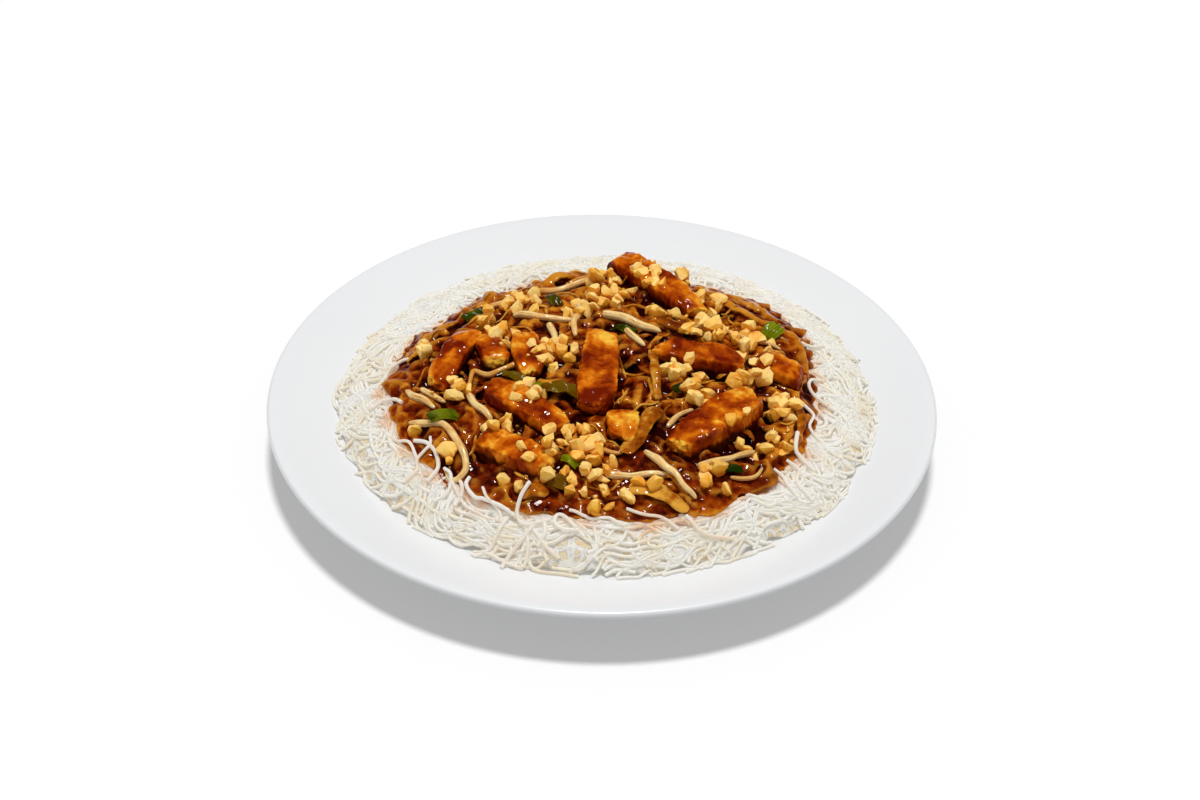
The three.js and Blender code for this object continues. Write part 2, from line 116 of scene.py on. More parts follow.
# Radii from +X, every 30 degrees.
BED_RADII = (122, 122, 121, 119, 118, 118, 119.5, 118, 118, 120, 121, 122)
HEAP_RADII = (95, 97, 87, 84, 82, 86, 95, 94, 93, 98, 101, 98)
SAUCE_RADII = (95, 98, 87, 84, 82, 86, 96, 99, 100, 101, 104, 101)  # with what has run out
BED_LEVEL = 33  # height of the noodles under the topping
BED_EDGE = 1.7  # thickness of the noodles at their outer edge
BED_FALL = 1.7  # the more, the later the noodles fall off towards their edge
HEAP_CROWN = 49  # height of the stir-fry's middle
HEAP_SHOULDER = 39  # height of its dome at the edge
HEAP_LEAN = 1.2  # how much higher the dome is at the back

# Chicken strips: the two ends of the middle line, width across, thickness and how bare of glaze.
CHICKEN = (
    ((4, 80, 46), (43, 34, 47), 14, 12, 0.1),
    ((-59, 14, 47), (-73, -19, 43), 12.5, 12, 0.6),
    ((-54, 11, 47), (-46, -8, 47), 11.5, 11, 0.3),
    ((-36, 11, 49), (-31, -17, 48), 12.5, 12, 0.4),
    ((-49, -25, 46), (-18, -53, 45), 14.5, 13, 0.45),
    ((0, 10, 51), (-3, -43, 49), 16.5, 12, 0.5),
    ((9, -44, 46), (9, -58, 45), 13.5, 13, 0.6),
    ((22, 2, 48), (63, -5, 46), 13.5, 12, 0.3),
    ((68, -1, 45), (88, -8, 41), 14.5, 12, 0.5),
    ((33, -64, 45), (67, -29, 45), 17.5, 15, 0.5),
    ((-52, -57, 42), (-23, -75, 42), 13.5, 12, 0.15),
)

# Bean sprouts: points (x, y, height of the middle above the heap), diameter, and how much
# sauce has coloured them: 0 is ivory and 1 is amber.
SPROUTS = (
    (((-40, 31, 2), (-29, 26, 2.5), (-13, 24, 2)), 3, 0.2),
    (((-25, 22, 2), (-21, 6, 3)), 3, 0.15),
    (((-9, 41, 2), (-12, 24, 5.5), (-12, 8, 4)), 3, 0.35),
    (((-1, 28, 4), (11, 24, 4), (26, 15, 3)), 3.6, 0.1),
    (((11, 14, 4), (19, 3, 3)), 3, 0.1),
    (((55, 22, 2), (67, 18, 2.5), (80, 14, 2.5)), 2.2, 0.3),
    (((-87, -17, 2), (-80, -26, 2.5), (-73, -34, 2.5)), 3, 0.25),
    (((-80, -20, 3), (-68, -31, 3)), 2.6, 0.25),
    (((-58, -28, 2.5), (-54, -37, 2.5), (-48, -46, 2.5)), 3, 0.1),
    (((-84, -39, 3), (-68, -46, 3.5), (-61, -58, 3), (-57, -71, 3), (-63, -74, 2),
      (-68, -65, 1.5)), 3, 0.3),
    (((2, -79, 2), (17, -78, 2.5), (30, -78, 2.5)), 3, 0.1),
    (((19, -66, 2), (25, -74, 6), (33, -82, 5), (40, -88, 2)), 3, 0.05),
    (((41, -72, 2), (53, -65, 2), (66, -57, 2)), 3, 0.3),
    (((-37, -9, 4), (-48, -15, 4), (-57, -14, 4), (-59, -21, 3)), 2.4, 0.8),
    (((-6, -62, 2.5), (3, -64, 2.5), (9, -65, 2)), 2, 0.7),
    (((28, -50, 2.5), (39, -38, 2.5)), 2.4, 0.4),
    (((55, -74, 2), (65, -73, 2), (69, -66, 2)), 1.8, 0.6),
    (((-33, 53, 2), (-18, 57, 2), (-4, 62, 2)), 3, 0.6),
    (((-52, 41, 2), (-41, 46, 2), (-35, 50, 2)), 3, 0.75),
)

# Onion bands: points as for the sprouts, width, thickness and sauce.
ONION = (
    (((21, -2, 6), (23, -16, 6), (24, -34, 4)), 4.5, 2, 0.4),
    (((24, -38, 3), (18, -52, 3.5), (10, -68, 2.5)), 9, 2, 0.45),
    (((24, 21, 4), (34, 18, 5), (44, 14, 5)), 7, 2, 0.9),
    (((86, -22, 2.5), (87, -38, 2.5), (81, -54, 2)), 4, 2.2, 0.35),
    (((12, -84, 2), (26, -88, 2.5), (37, -93, 2)), 9, 2.2, -0.1),
    (((-34, -86, 2), (-28, -86, 4), (-22, -87, 2)), 9, 4, 0.5),
)

# Spring onion: middle (x, y, height above the heap), length, width, turn about Z and pitch in
# degrees, arch, how dark the green is and how much sauce has coloured it.
SPRING_ONION = (
    ((-69, -40, 3.5), 12, 7, 20, -8, 2.2, 0.7, 0),
    ((-29, -27, 3), 10, 6.5, -12, 4, 1, 0.2, 0.1),
    ((-58, 35, 3), 12, 5, 22, 6, 0.8, 1, 0),
    ((10, 18, 2.5), 11, 4, -30, 4, 0.6, 1, 0),
    ((76, 27, 2.5), 9, 9, 40, 24, 1.4, 0.2, 0),
    ((37, -26, 3), 12, 5, 8, -6, 0.8, 1.1, 0.1),
    ((54, -71, 3), 12, 6, 10, -5, 1.2, 1.3, 0),
    ((-13, -72, 3), 7, 5, -30, -10, 0.8, 0.1, 0),
    ((-23, 42, 3), 9, 5, -60, 5, 1, 0.9, 0.2),
    ((-17, -30, 3), 19, 7, -14, -2, 2.4, 0.5, 0.8),
    ((-39, -19, 3), 10, 5, -25, 0, 0.8, 0.6, 0.7),
    ((-17, -82, 2), 13, 7, -8, -8, 1.2, 0.9, 0.75),
)

# Clusters of chopped peanuts: x, y, spread and number of pieces.
PEANUT_CLUSTERS = (
    (0, 60, 5, 8), (1, 42, 6, 10), (-12, 32, 7, 6), (-38, 40, 7, 8), (-54, 28, 4, 5),
    (-45, 9, 5, 8), (-22, -4, 8, 15), (21, 54, 6, 9), (38, 80, 5, 6), (27, 32, 5, 5),
    (49, 44, 5, 6), (46, 18, 7, 13), (66, 12, 8, 9), (68, -8, 5, 5), (36, -14, 6, 8),
    (42, -30, 5, 6), (60, -19, 3, 3), (79, -29, 5, 10), (62, -53, 5, 6), (75, -53, 4, 5),
    (48, -78, 6, 6), (-64, -24, 4, 6), (-85, -45, 3, 2), (-66, -62, 3, 2), (-33, -34, 6, 8),
    (-44, -50, 4, 5), (-18, -62, 6, 6), (-10, -63, 7, 10), (-4, -76, 9, 8), (-28, -77, 8, 5),
    (-7, -90, 9, 6), (-41, -84, 3, 2), (16, -88, 6, 3), (-82, 8, 3, 3),
)

# Shreds that stand out in the sauce: points (x, y, height above the heap), width, thickness and
# how much onion shows through the sauce.
SHREDS = (
    (((-88, 6, 1.5), (-80, 12, 2.5), (-73, 19, 1.5)), 3, 1.8, 0.8),
    (((-89, 12, 1), (-82, 17, 2), (-76, 24, 1)), 3, 1.8, 0.7),
    (((-87, 16, 0.5), (-81, 21, 2), (-74, 30, 1)), 3, 1.8, 0.6),
    (((-80, 20, 1), (-74, 28, 2), (-66, 34, 1)), 4, 1.8, 0.6),
    (((-61, 41, 1), (-48, 51, 2), (-34, 58, 1)), 4, 2.2, 0.4),
    (((-30, 61, 1), (-20, 69, 3), (-7, 76, 1)), 6, 2.4, 0.2),
    (((-20, 57, 2), (-11, 63, 3), (-3, 69, 1)), 4, 2, 0.4),
    (((82, -22, 1), (83, -36, 2), (78, -54, 1)), 3, 1.8, 0.6),
    (((90, 1, 1), (86, -14, 2), (85, -25, 1)), 4, 1.8, 0.4),
    (((78, 36, 0), (87, 28, 1.5), (90, 13, 1.5), (91, -1, 0.5)), 5, 2, 0.15),
    (((44, 61, 1), (56, 47, 3), (71, 32, 1)), 5, 2.2, 0.3),
    (((51, 51, 2), (65, 37, 3), (78, 34, 1)), 4, 2, 0.4),
    (((20, 3, 2), (27, 15, 3), (29, 23, 2)), 3.4, 1.8, 0.5),
    (((21, -19, 2), (23, -34, 3), (26, -45, 1)), 3.4, 1.8, 0.7),
    (((17, -16, 1), (15, -34, 2), (11, -49, 1)), 4, 2, 0.5),
    (((37, -91, 0.5), (44, -94, 1.5), (50, -91, 1)), 3, 1.8, 0.5),
    (((45, -94, 0.5), (51, -90, 1.5), (57, -83, 1)), 3, 1.8, 0.5),
    (((-89, -30, 1), (-87, -44, 1.5), (-83, -51, 1)), 3, 1.8, 0.4),
    (((-87, -15, 1), (-88, -26, 1.5), (-88, -37, 1)), 4, 2, 0.3),
    (((-82, -44, 1), (-76, -53, 1.5), (-69, -62, 0)), 5, 2, 0.15),
    (((-78, -51, 0), (-69, -65, 1.5), (-62, -79, 0)), 5, 2, 0.1),
    (((23, -78, 3), (31, -80, 3), (38, -88, 2), (40, -96, 0)), 4, 1.6, 0.95),
    (((-32, -17, 2), (-24, -23, 2), (-12, -19, 1)), 3.4, 1.6, 0.6),
)

# Dark hollows between the pieces: x, y, radius and depth.
HOLLOWS = (
    (-63, -7, 8, 11), (-56, -20, 6, 6), (10, -5, 4, 6), (62, -47, 11, 8), (71, -29, 6, 6),
    (35, 39, 7, 6), (-50, -66, 6, 3), (-42, -29, 6, 4), (-27, -28, 6, 4), (48, -9, 7, 5),
    (-25, 29, 6, 3),
)

# Noodles that curl over the edge of the sauce: points (x, y, height above what they lie on).
NOODLES_ON_SAUCE = (
    ((-92, -42, 0), (-88, -47, 1.5), (-83, -51, 2), (-80, -58, 1.5), (-79, -61, 1)),
    ((-74, -50, 1), (-74, -56, 2), (-79, -61, 1.5), (-79, -66, 1), (-84, -70, 0)),
    ((-64, -75, 2), (-60, -82, 2), (-55, -89, 1.5), (-48, -93, 1), (-40, -97, 0)),
    ((-60, -75, 0), (-59, -78, 1.5), (-59, -81, 1), (-62, -86, 0)),
    ((-39, -95, 1), (-42, -100, 1), (-46, -106, 0), (-53, -108, -1)),
    ((-30, -85, 2), (-34, -91, 2), (-35, -96, 2), (-32, -101, 2), (-27, -101, 1.5), (-21, -99, 0)),
    ((-27, -101, 2), (-33, -107, 2), (-38, -111, 1.5), (-41, -116, 0)),
    ((-31, -102, 1), (-30, -110, 1.5), (-32, -116, 1), (-38, -114, 1), (-45, -109, 1), (-53, -105, 0)),
    ((-28, -103, 1), (-23, -110, 1), (-17, -114, 0)),
    ((-24, -98, 0), (-23, -105, 1), (-26, -110, 0)),
    ((-9, -105, 0.5), (-15, -105, 1.5), (-19, -102, 2), (-18, -98, 2), (-15, -99, 2), (-10, -104, 1)),
    ((85, -44, 1), (84, -52, 1), (86, -55, 1), (92, -60, 0)),
    ((36, -96, 1), (42, -102, 1), (48, -103, 0.5), (56, -101, 0)),
    ((74, -65, 0.5), (78, -67, 1), (80, -72, 1), (84, -77, 0)),
    ((99, 2, 0.5), (94, 0, 1), (92, -5, 1), (94, -10, 1), (100, -13, 0)),
    ((101, 30, 0), (95, 26, 1), (90, 24, 1)),
    ((-97, -2, 0), (-95, 4, 1.5), (-91, 8, 1.5), (-87, 9, 0.5)),
    ((-56, -75, 1), (-57, -80, 2), (-52, -86, 2), (-45, -90, 1.5), (-38, -94, 1), (-33, -97, 0)),
    ((-81, -50, 0), (-76, -53, 1), (-71, -60, 1.5), (-70, -67, 1.5), (-74, -72, 0)),
    ((-67, -68, 0.5), (-64, -73, 1.5), (-65, -79, 1), (-71, -82, 0)),
    ((-50, -82, 1), (-48, -88, 2), (-43, -92, 1.5), (-41, -99, 0)),
    ((-13, -95, 0.5), (-5, -98, 1.5), (3, -99, 1), (10, -103, 0)),
    ((11, -95, 0.5), (18, -98, 1.5), (26, -98, 1.2), (33, -102, 0)),
    ((80, -58, 1), (85, -63, 1.5), (84, -70, 1), (90, -75, 0)),
    ((89, -22, 1), (93, -28, 1.5), (91, -35, 1), (97, -41, 0)),
    ((-88, -25, 0.5), (-92, -20, 1.5), (-97, -18, 1), (-102, -21, 0)),
)


def curve(a, b, c, d, share):
    """A smooth curve from b to c that goes on to a and d."""
    square = (2 * a - 5 * b + 4 * c - d) * share**2
    cube = (3 * b - 3 * c + d - a) * share**3
    return 0.5 * (2 * b + (c - a) * share + square + cube)


def around(radii, angle):
    """Radius at an angle, smoothly between radii given at even angles."""
    place = np.asarray(angle) / TAU % 1.0 * len(radii)
    first = np.floor(place).astype(int)
    knots = (np.take(radii, first + k, mode="wrap") for k in (-1, 0, 1, 2))
    return curve(*knots, place - first)


def on_circle(angle, radius):
    """Points (x, y) at angles on a circle."""
    return np.stack([radius * np.cos(angle), radius * np.sin(angle)], 1)


def smoothstep(low, high, value):
    """0 below low, 1 above high and smooth in between; low may be the greater one."""
    share = np.clip((value - low) / (high - low), 0, 1)
    return share * share * (3 - 2 * share)


def plate_top(radius):
    """Upper face of the plate at a distance from its middle."""
    wall = WELL_LEVEL + (WALL_LEVEL - WELL_LEVEL) * smoothstep(WELL_RADIUS, WALL_RADIUS, radius)
    slope = (PLATE_TOP - WALL_LEVEL) / (PLATE_RADIUS - WALL_RADIUS)
    return wall + np.maximum(0, radius - WALL_RADIUS) * slope


def ring_share(x, y, inner_radii=HEAP_RADII):
    """0 where the stir-fry ends and 1 where the noodles end."""
    angle = np.arctan2(y, x)
    inner = around(inner_radii, angle)
    return (np.hypot(x, y) - inner) / (around(BED_RADII, angle) - inner)


def bed_top(x, y):
    """Surface of the noodles."""
    angle = np.arctan2(y, x)
    share = np.clip(ring_share(x, y), 0, 1)
    edge = plate_top(around(BED_RADII, angle)) + BED_EDGE
    wave = 0.9 * np.sin(7 * angle + 0.4) * np.sin(math.pi * share)
    return BED_LEVEL + (edge - BED_LEVEL) * share**BED_FALL + wave


def heap_top(x, y):
    """Surface of the stir-fry without its toppings."""
    radius = around(HEAP_RADII, np.arctan2(y, x))
    share = np.minimum(1, np.hypot(x, y) / radius)
    dome = HEAP_CROWN + (HEAP_SHOULDER - HEAP_CROWN) * share**2 + HEAP_LEAN * y / radius
    broad = np.sin(0.11 * x + 1.3) * np.cos(0.13 * y - 0.4)
    fine = 0.6 * np.sin(0.21 * x - 0.17 * y)
    lump = 1.2 * (broad + fine) * (1 - share**4)
    return BED_LEVEL + (dome + lump - BED_LEVEL) * np.sqrt(np.maximum(0, 1 - share**8))


def on_dish(points):
    """Points (x, y, rise) as points (x, y, z) on the stir-fry, or on the noodles beside it."""
    x, y, rise = np.asarray(points, float).T
    return np.stack([x, y, np.where(ring_share(x, y) < 0, heap_top(x, y), bed_top(x, y)) + rise], 1)


def unevenness(points, size, seed, waves=9):
    """Smooth noise of about -1 to 1 with lumps of one size, a sum of waves in all directions."""
    rng = np.random.default_rng(seed)
    points = np.asarray(points, float)
    total = np.zeros(len(points))
    for _ in range(waves):
        direction = rng.normal(size=points.shape[1])
        direction *= math.pi / (size * rng.uniform(0.7, 1.5) * np.linalg.norm(direction))
        total += np.sin(points @ direction + rng.uniform(0, TAU))
    return total / math.sqrt(waves / 2)


def smooth_path(points, step):
    """Points about a step apart on the smooth curve through the given ones."""
    points = np.asarray(points, float)
    knots = np.concatenate([[2 * points[0] - points[1]], points, [2 * points[-1] - points[-2]]])
    share = np.linspace(0, 1, 24, endpoint=False)[:, None]
    spans = zip(knots, knots[1:], knots[2:], knots[3:])
    fine = np.concatenate([*(curve(*span, share) for span in spans), points[-1:]])
    travel = np.concatenate([[0], np.cumsum(np.linalg.norm(np.diff(fine, axis=0), axis=1))])
    even = np.linspace(0, travel[-1], max(3, round(travel[-1] / step)) + 1)
    return np.stack([np.interp(even, travel, fine[:, k]) for k in range(3)], 1)


def smoothed(values, count):
    """The running mean of an odd count of values; both ends are held."""
    padded = np.pad(values, count // 2, mode="edge")
    return np.convolve(padded, np.full(count, 1 / count), mode="valid")


def chop(rng, points, cuts, depth, strength=1.0, stretch=(1, 1, 1)):
    """Flattens a lump from random sides, down to a share of its reach there."""
    for _ in range(cuts):
        way = rng.normal(size=3) * stretch
        way /= np.linalg.norm(way)
        reach = points @ way
        over = np.maximum(0, reach - rng.uniform(*depth) * reach.max())
        points -= strength * over[:, None] * way


# ------------------------------------------------------------------ node trees

def linear(red, green, blue):
    """A colour given as 0 to 255 on a screen, as the linear values that Blender keeps."""
    return tuple(
        c / 12.92 if c <= 0.04045 else ((c + 0.055) / 1.055) ** 2.4
        for c in (red / 255, green / 255, blue / 255)
    )


class Value:
    """A socket in a node tree; arithmetic on it adds Math nodes."""

    def __init__(self, tree, socket):
        self.tree, self.socket = tree, socket

    def _math(self, operation, first, second=0.0, clamp=False):
        settings = {"operation": operation, "use_clamp": clamp}
        node = self.tree.node("ShaderNodeMath", settings, {0: first, 1: second})
        return Value(self.tree, node.outputs[0])

    def __add__(self, other):
        return self._math("ADD", self, other)

    __radd__ = __add__

    def __sub__(self, other):
        return self._math("SUBTRACT", self, other)

    def __rsub__(self, other):
        return self._math("SUBTRACT", other, self)

    def __mul__(self, other):
        return self._math("MULTIPLY", self, other)

    __rmul__ = __mul__

    def wave(self):
        return self._math("SINE", self)

    def lower_of(self, other):
        return self._math("MINIMUM", self, other)

    def off_middle(self):
        """How far a noise is from its middle value: near 0 along thin winding lines."""
        return self._math("ABSOLUTE", self - 0.5)

    def clamped(self):
        return self._math("ADD", self, 0.0, clamp=True)

    def between(self, low, high):
        """The same as smoothstep, on a socket."""
        sockets = {"Value": self, "From Min": low, "From Max": high}
        node = self.tree.node("ShaderNodeMapRange", {"interpolation_type": "SMOOTHSTEP"}, sockets)
        return Value(self.tree, node.outputs["Result"])


class Tree:
    """Adds nodes to a tree and links them."""

    def __init__(self, tree):
        self.nodes, self.links = tree.nodes, tree.links

    def node(self, kind, settings=None, sockets=None):
        node = self.nodes.new(kind)
        for name, value in (settings or {}).items():
            if name == "stops":
                self._set_stops(node.color_ramp, value)
            else:
                setattr(node, name, value)
        for name, value in (sockets or {}).items():
            self._feed(node.inputs[name], value)
        return node

    @staticmethod
    def _set_stops(ramp, stops):
        while len(ramp.elements) < len(stops):
            ramp.elements.new(0.5)
        for element, (place, color) in zip(ramp.elements, stops):
            element.position = place
            element.color = (*color, 1)

    def _feed(self, socket, value):
        if isinstance(value, Value):
            value = value.socket
        if isinstance(value, bpy.types.Node):
            value = value.outputs[0]
        if isinstance(value, bpy.types.NodeSocket):
            self.links.new(value, socket)
        elif socket.type == "RGBA" and len(value) == 3:
            socket.default_value = (*value, 1)
        else:
            socket.default_value = value


class Finish(Tree):
    """One material. Its patterns lie in the object's own coordinates, in metres."""

    def __init__(self, name):
        self.material = bpy.data.materials.new(name)
        self.material.use_nodes = True
        super().__init__(self.material.node_tree)
        self.nodes.clear()
        self.place = self.node("ShaderNodeTexCoord").outputs["Object"]

    def attribute(self, name):
        node = self.node("ShaderNodeAttribute", {"attribute_name": name})
        return Value(self, node.outputs["Fac"])

    def along(self, axis, vector):
        """One part of a vector."""
        return Value(self, self.node("ShaderNodeSeparateXYZ", None, {0: vector}).outputs[axis])

    def noise(self, size, detail=2.0, distortion=0.0, stretch=None, at=None):
        """Noise from 0 to 1 with lumps of a size in millimetres."""
        where = at or self.place
        if stretch:
            where = self.node("ShaderNodeMapping", None, {"Vector": where, "Scale": stretch})
        sockets = {"Vector": where, "Scale": 0.5 / (size * MM), "Detail": detail}
        sockets["Distortion"] = distortion
        return Value(self, self.node("ShaderNodeTexNoise", None, sockets).outputs["Fac"])

    def ramp(self, value, *stops):
        node = self.node("ShaderNodeValToRGB", {"stops": stops}, {"Fac": value})
        return node.outputs["Color"]

    def mix(self, share, first, second):
        sockets = {"Factor": share, 6: first, 7: second}
        return self.node("ShaderNodeMix", {"data_type": "RGBA"}, sockets).outputs[2]

    def bump(self, height, depth):
        """Relief of a depth in millimetres."""
        return self.node("ShaderNodeBump", None, {"Height": height, "Distance": depth * MM})

    def shade(self, **sockets):
        named = {name.replace("_", " "): value for name, value in sockets.items()}
        shader = self.node("ShaderNodeBsdfPrincipled", None, named)
        return self.finish(shader)

    def finish(self, shader):
        self.node("ShaderNodeOutputMaterial", None, {"Surface": shader})
        return self.material


def new_tree(name, *inputs):
    """A geometry node group with named inputs, as the group, its builder and the input sockets."""
    group = bpy.data.node_groups.new(name, "GeometryNodeTree")
    group.interface.new_socket("Geometry", in_out="OUTPUT", socket_type="NodeSocketGeometry")
    group.interface.new_socket("Geometry", in_out="INPUT", socket_type="NodeSocketGeometry")
    for label, kind in inputs:
        group.interface.new_socket(label, in_out="INPUT", socket_type="NodeSocket" + kind)
    tree = Tree(group)
    return group, tree, tree.node("NodeGroupInput").outputs


def close_tree(tree, geometry, material):
    """Ends a tree with plain geometry that has its material."""
    real = tree.node("GeometryNodeRealizeInstances", None, {"Geometry": geometry})
    painted = tree.node("GeometryNodeSetMaterial", None, {"Geometry": real, "Material": material})
    tree.node("NodeGroupOutput", None, {"Geometry": painted})


def sweep_tree():
    """Strands and bands: sweeps an oval section along every line of a mesh of edges."""
    inputs = (("Width", "Float"), ("Thickness", "Float"), ("Sides", "Int"), ("Material", "Material"))
    group, tree, given = new_tree("Sweep", *inputs)
    girth = tree.node("GeometryNodeInputNamedAttribute", {"data_type": "FLOAT"}, {"Name": "girth"})
    line = tree.node("GeometryNodeMeshToCurve", None, {"Mesh": given["Geometry"]})
    line = tree.node("GeometryNodeSetCurveNormal", {"mode": "Z_UP"}, {"Curve": line})
    ring = tree.node(
        "GeometryNodeCurvePrimitiveCircle", None, {"Resolution": given["Sides"], "Radius": 0.5}
    )
    place = tree.node("GeometryNodeSplineParameter")
    ring = tree.node(
        "GeometryNodeStoreNamedAttribute",
        {"data_type": "FLOAT", "domain": "POINT"},
        {"Geometry": ring, "Name": "around", "Value": place},
    )
    size = tree.node(
        "ShaderNodeCombineXYZ", None, {"X": given["Width"], "Y": given["Thickness"], "Z": 1.0}
    )
    ring = tree.node("GeometryNodeTransform", None, {"Geometry": ring, "Scale": size})
    skin = tree.node(
        "GeometryNodeCurveToMesh",
        None,
        {"Curve": line, "Profile Curve": ring, "Scale": girth, "Fill Caps": True},
    )
    close_tree(tree, skin, given["Material"])
    return group


def scatter_tree():
    """Chopped pieces: puts one of several shapes at every point, turned and sized as it says."""
    inputs = (("Shapes", "Collection"), ("Material", "Material"))
    group, tree, given = new_tree("Scatter", *inputs)
    named = "GeometryNodeInputNamedAttribute"
    turn = tree.node(named, {"data_type": "FLOAT_VECTOR"}, {"Name": "turn"})
    turn = tree.node("FunctionNodeEulerToRotation", None, {"Euler": turn})
    shapes = tree.node(
        "GeometryNodeCollectionInfo",
        None,
        {"Collection": given["Shapes"], "Separate Children": True, "Reset Children": True},
    )
    placed = tree.node(
        "GeometryNodeInstanceOnPoints",
        None,
        {
            "Points": tree.node("GeometryNodeMeshToPoints", None, {"Mesh": given["Geometry"]}),
            "Instance": shapes,
            "Pick Instance": True,
            "Instance Index": tree.node(named, {"data_type": "INT"}, {"Name": "shape"}),
            "Rotation": turn,
            "Scale": tree.node(named, {"data_type": "FLOAT_VECTOR"}, {"Name": "size"}),
        },
    )
    close_tree(tree, placed, given["Material"])
    return group


# ------------------------------------------------------------------ meshes

def put_attribute(mesh, name, values):
    """Stores one number, vector or whole number for each vertex."""
    values = np.asarray(values)
    kind = "INT" if values.dtype.kind == "i" else "FLOAT_VECTOR" if values.ndim == 2 else "FLOAT"
    stored = values.ravel().astype(np.int32 if kind == "INT" else np.float32)
    layer = mesh.attributes.new(name, kind, "POINT")
    layer.data.foreach_set("vector" if kind == "FLOAT_VECTOR" else "value", stored)


def read_attribute(mesh, name):
    values = np.zeros(len(mesh.vertices), np.float32)
    mesh.attributes[name].data.foreach_get("value", values)
    return values


def read_points(mesh):
    """The vertices in millimetres."""
    points = np.zeros(len(mesh.vertices) * 3, np.float32)
    mesh.vertices.foreach_get("co", points)
    return points.reshape(-1, 3).astype(float) / MM


def write_points(mesh, points):
    mesh.vertices.foreach_set("co", (points * MM).ravel())


def read_normals(mesh):
    normals = np.zeros(len(mesh.vertices) * 3, np.float32)
    mesh.vertex_normals.foreach_get("vector", normals)
    return normals.reshape(-1, 3)


def new_mesh(name, points, edges=(), faces=(), **attributes):
    """An object whose mesh has the given points, in millimetres."""
    mesh = bpy.data.meshes.new(name)
    mesh.from_pydata((np.asarray(points) * MM).tolist(), edges, faces)
    for label, values in attributes.items():
        put_attribute(mesh, label, values)
    return new_object(name, mesh)


def new_object(name, mesh):
    piece = bpy.data.objects.new(name, mesh)
    bpy.context.scene.collection.objects.link(piece)
    return piece


def evaluated_mesh(piece):
    depsgraph = bpy.context.evaluated_depsgraph_get()
    return bpy.data.meshes.new_from_object(piece.evaluated_get(depsgraph), depsgraph=depsgraph)


def grow(name, base, group, **inputs):
    """Runs a geometry node group on a base object and returns the plain mesh that it makes."""
    modifier = base.modifiers.new(group.name, "NODES")
    modifier.node_group = group
    sockets = {item.name: item.identifier for item in group.interface.items_tree}
    for label, value in inputs.items():
        modifier[sockets[label]] = value
    base.update_tag()
    piece = new_object(name, evaluated_mesh(base))
    bpy.data.objects.remove(base)
    piece.data.shade_smooth()
    return piece


def line_mesh(lines):
    """A mesh of edges for the sweep. A line is its points and its numbers for each point."""
    points, edges, numbers = [], [], {}
    for line, attributes in lines:
        first = len(points)
        points.extend(line)
        edges.extend((k, k + 1) for k in range(first, len(points) - 1))
        for label, values in attributes.items():
            numbers.setdefault(label, []).append(np.broadcast_to(values, len(line)))
    joined = {label: np.concatenate(values) for label, values in numbers.items()}
    return new_mesh("lines", points, edges=edges, **joined)


def sweep(name, lines, width, thickness, sides, material):
    inputs = {"Width": width * MM, "Thickness": thickness * MM, "Sides": sides, "Material": material}
    return grow(name, line_mesh(lines), sweep_tree(), **inputs)


def roughen(mesh, depth, size):
    """Moves the skin in and out by about a depth, in lumps of one size."""
    points = read_points(mesh)
    lumps = depth * unevenness(points, size, 19)
    write_points(mesh, points + read_normals(mesh) * lumps[:, None])


def ring_mesh(name, rings, segments):
    """A closed skin of rings round the Z axis, from one pole to the other.

    A ring is its radius and height, or a function that gives them for each angle.
    """
    angle = np.arange(segments) * TAU / segments
    circles = [ring(angle) if callable(ring) else ring for ring in rings]
    points = [[0, 0, circles[0][1]]]
    for radius, height in circles[1:-1]:
        level = np.broadcast_to(height, segments)
        points.extend(np.column_stack([on_circle(angle, radius), level]))
    points.append([0, 0, circles[-1][1]])
    last, count = len(points) - 1, len(rings) - 2
    faces = []
    for i in range(segments):
        j = (i + 1) % segments
        faces.append((0, 1 + i, 1 + j))
        for k in range(count - 1):
            a, b = 1 + k * segments, 1 + (k + 1) * segments
            faces.append((a + i, b + i, b + j, a + j))
        a = 1 + (count - 1) * segments
        faces.append((a + i, last, a + j))
    return new_mesh(name, points, faces=faces)


def dress(piece, material, slot, *nodes):
    """Gives a finished piece its material and its body, and hides the CAD nodes that it stands for."""
    piece.data.materials.clear()
    piece.data.materials.append(material)
    piece.data.shade_smooth()
    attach(piece, "root")
    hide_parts(*nodes)


def nodes_of(kind, table):
    return [f"{kind}_{i + 1}" for i in range(len(table))]


def drop(x, y):
    """What lies under a point, looking down: the place in millimetres and the object's name."""
    scene = bpy.context.scene
    depsgraph = bpy.context.evaluated_depsgraph_get()
    start = Vector((x * MM, y * MM, 1))
    hit, place, _, _, thing, _ = scene.ray_cast(depsgraph, start, Vector((0, 0, -1)))
    if not hit:
        raise RuntimeError(f"nothing lies under {x:.1f}, {y:.1f}")
    return place / MM, thing.name


# ------------------------------------------------------------------ settings

def colour(name, *screen):
    return bpy.props.FloatVectorProperty(
        name=name, description=f"Colour: {name.lower()}", subtype="COLOR", min=0, max=1,
        default=linear(*screen),
    )


def length(name, description, millimetres):
    return bpy.props.FloatProperty(
        name=name, description=description, default=millimetres * MM, min=0, unit="LENGTH",
        subtype="DISTANCE",
    )


def number(name, description, default):
    return bpy.props.IntProperty(name=name, description=description, default=default, min=1)


class PlateSettings(bpy.types.PropertyGroup):
    glaze: colour("Glaze", 241, 242, 243)
    shade: colour("Glaze in its thinner places", 237, 238, 240)
    segments: number("Segments", "Steps round the plate", 256)


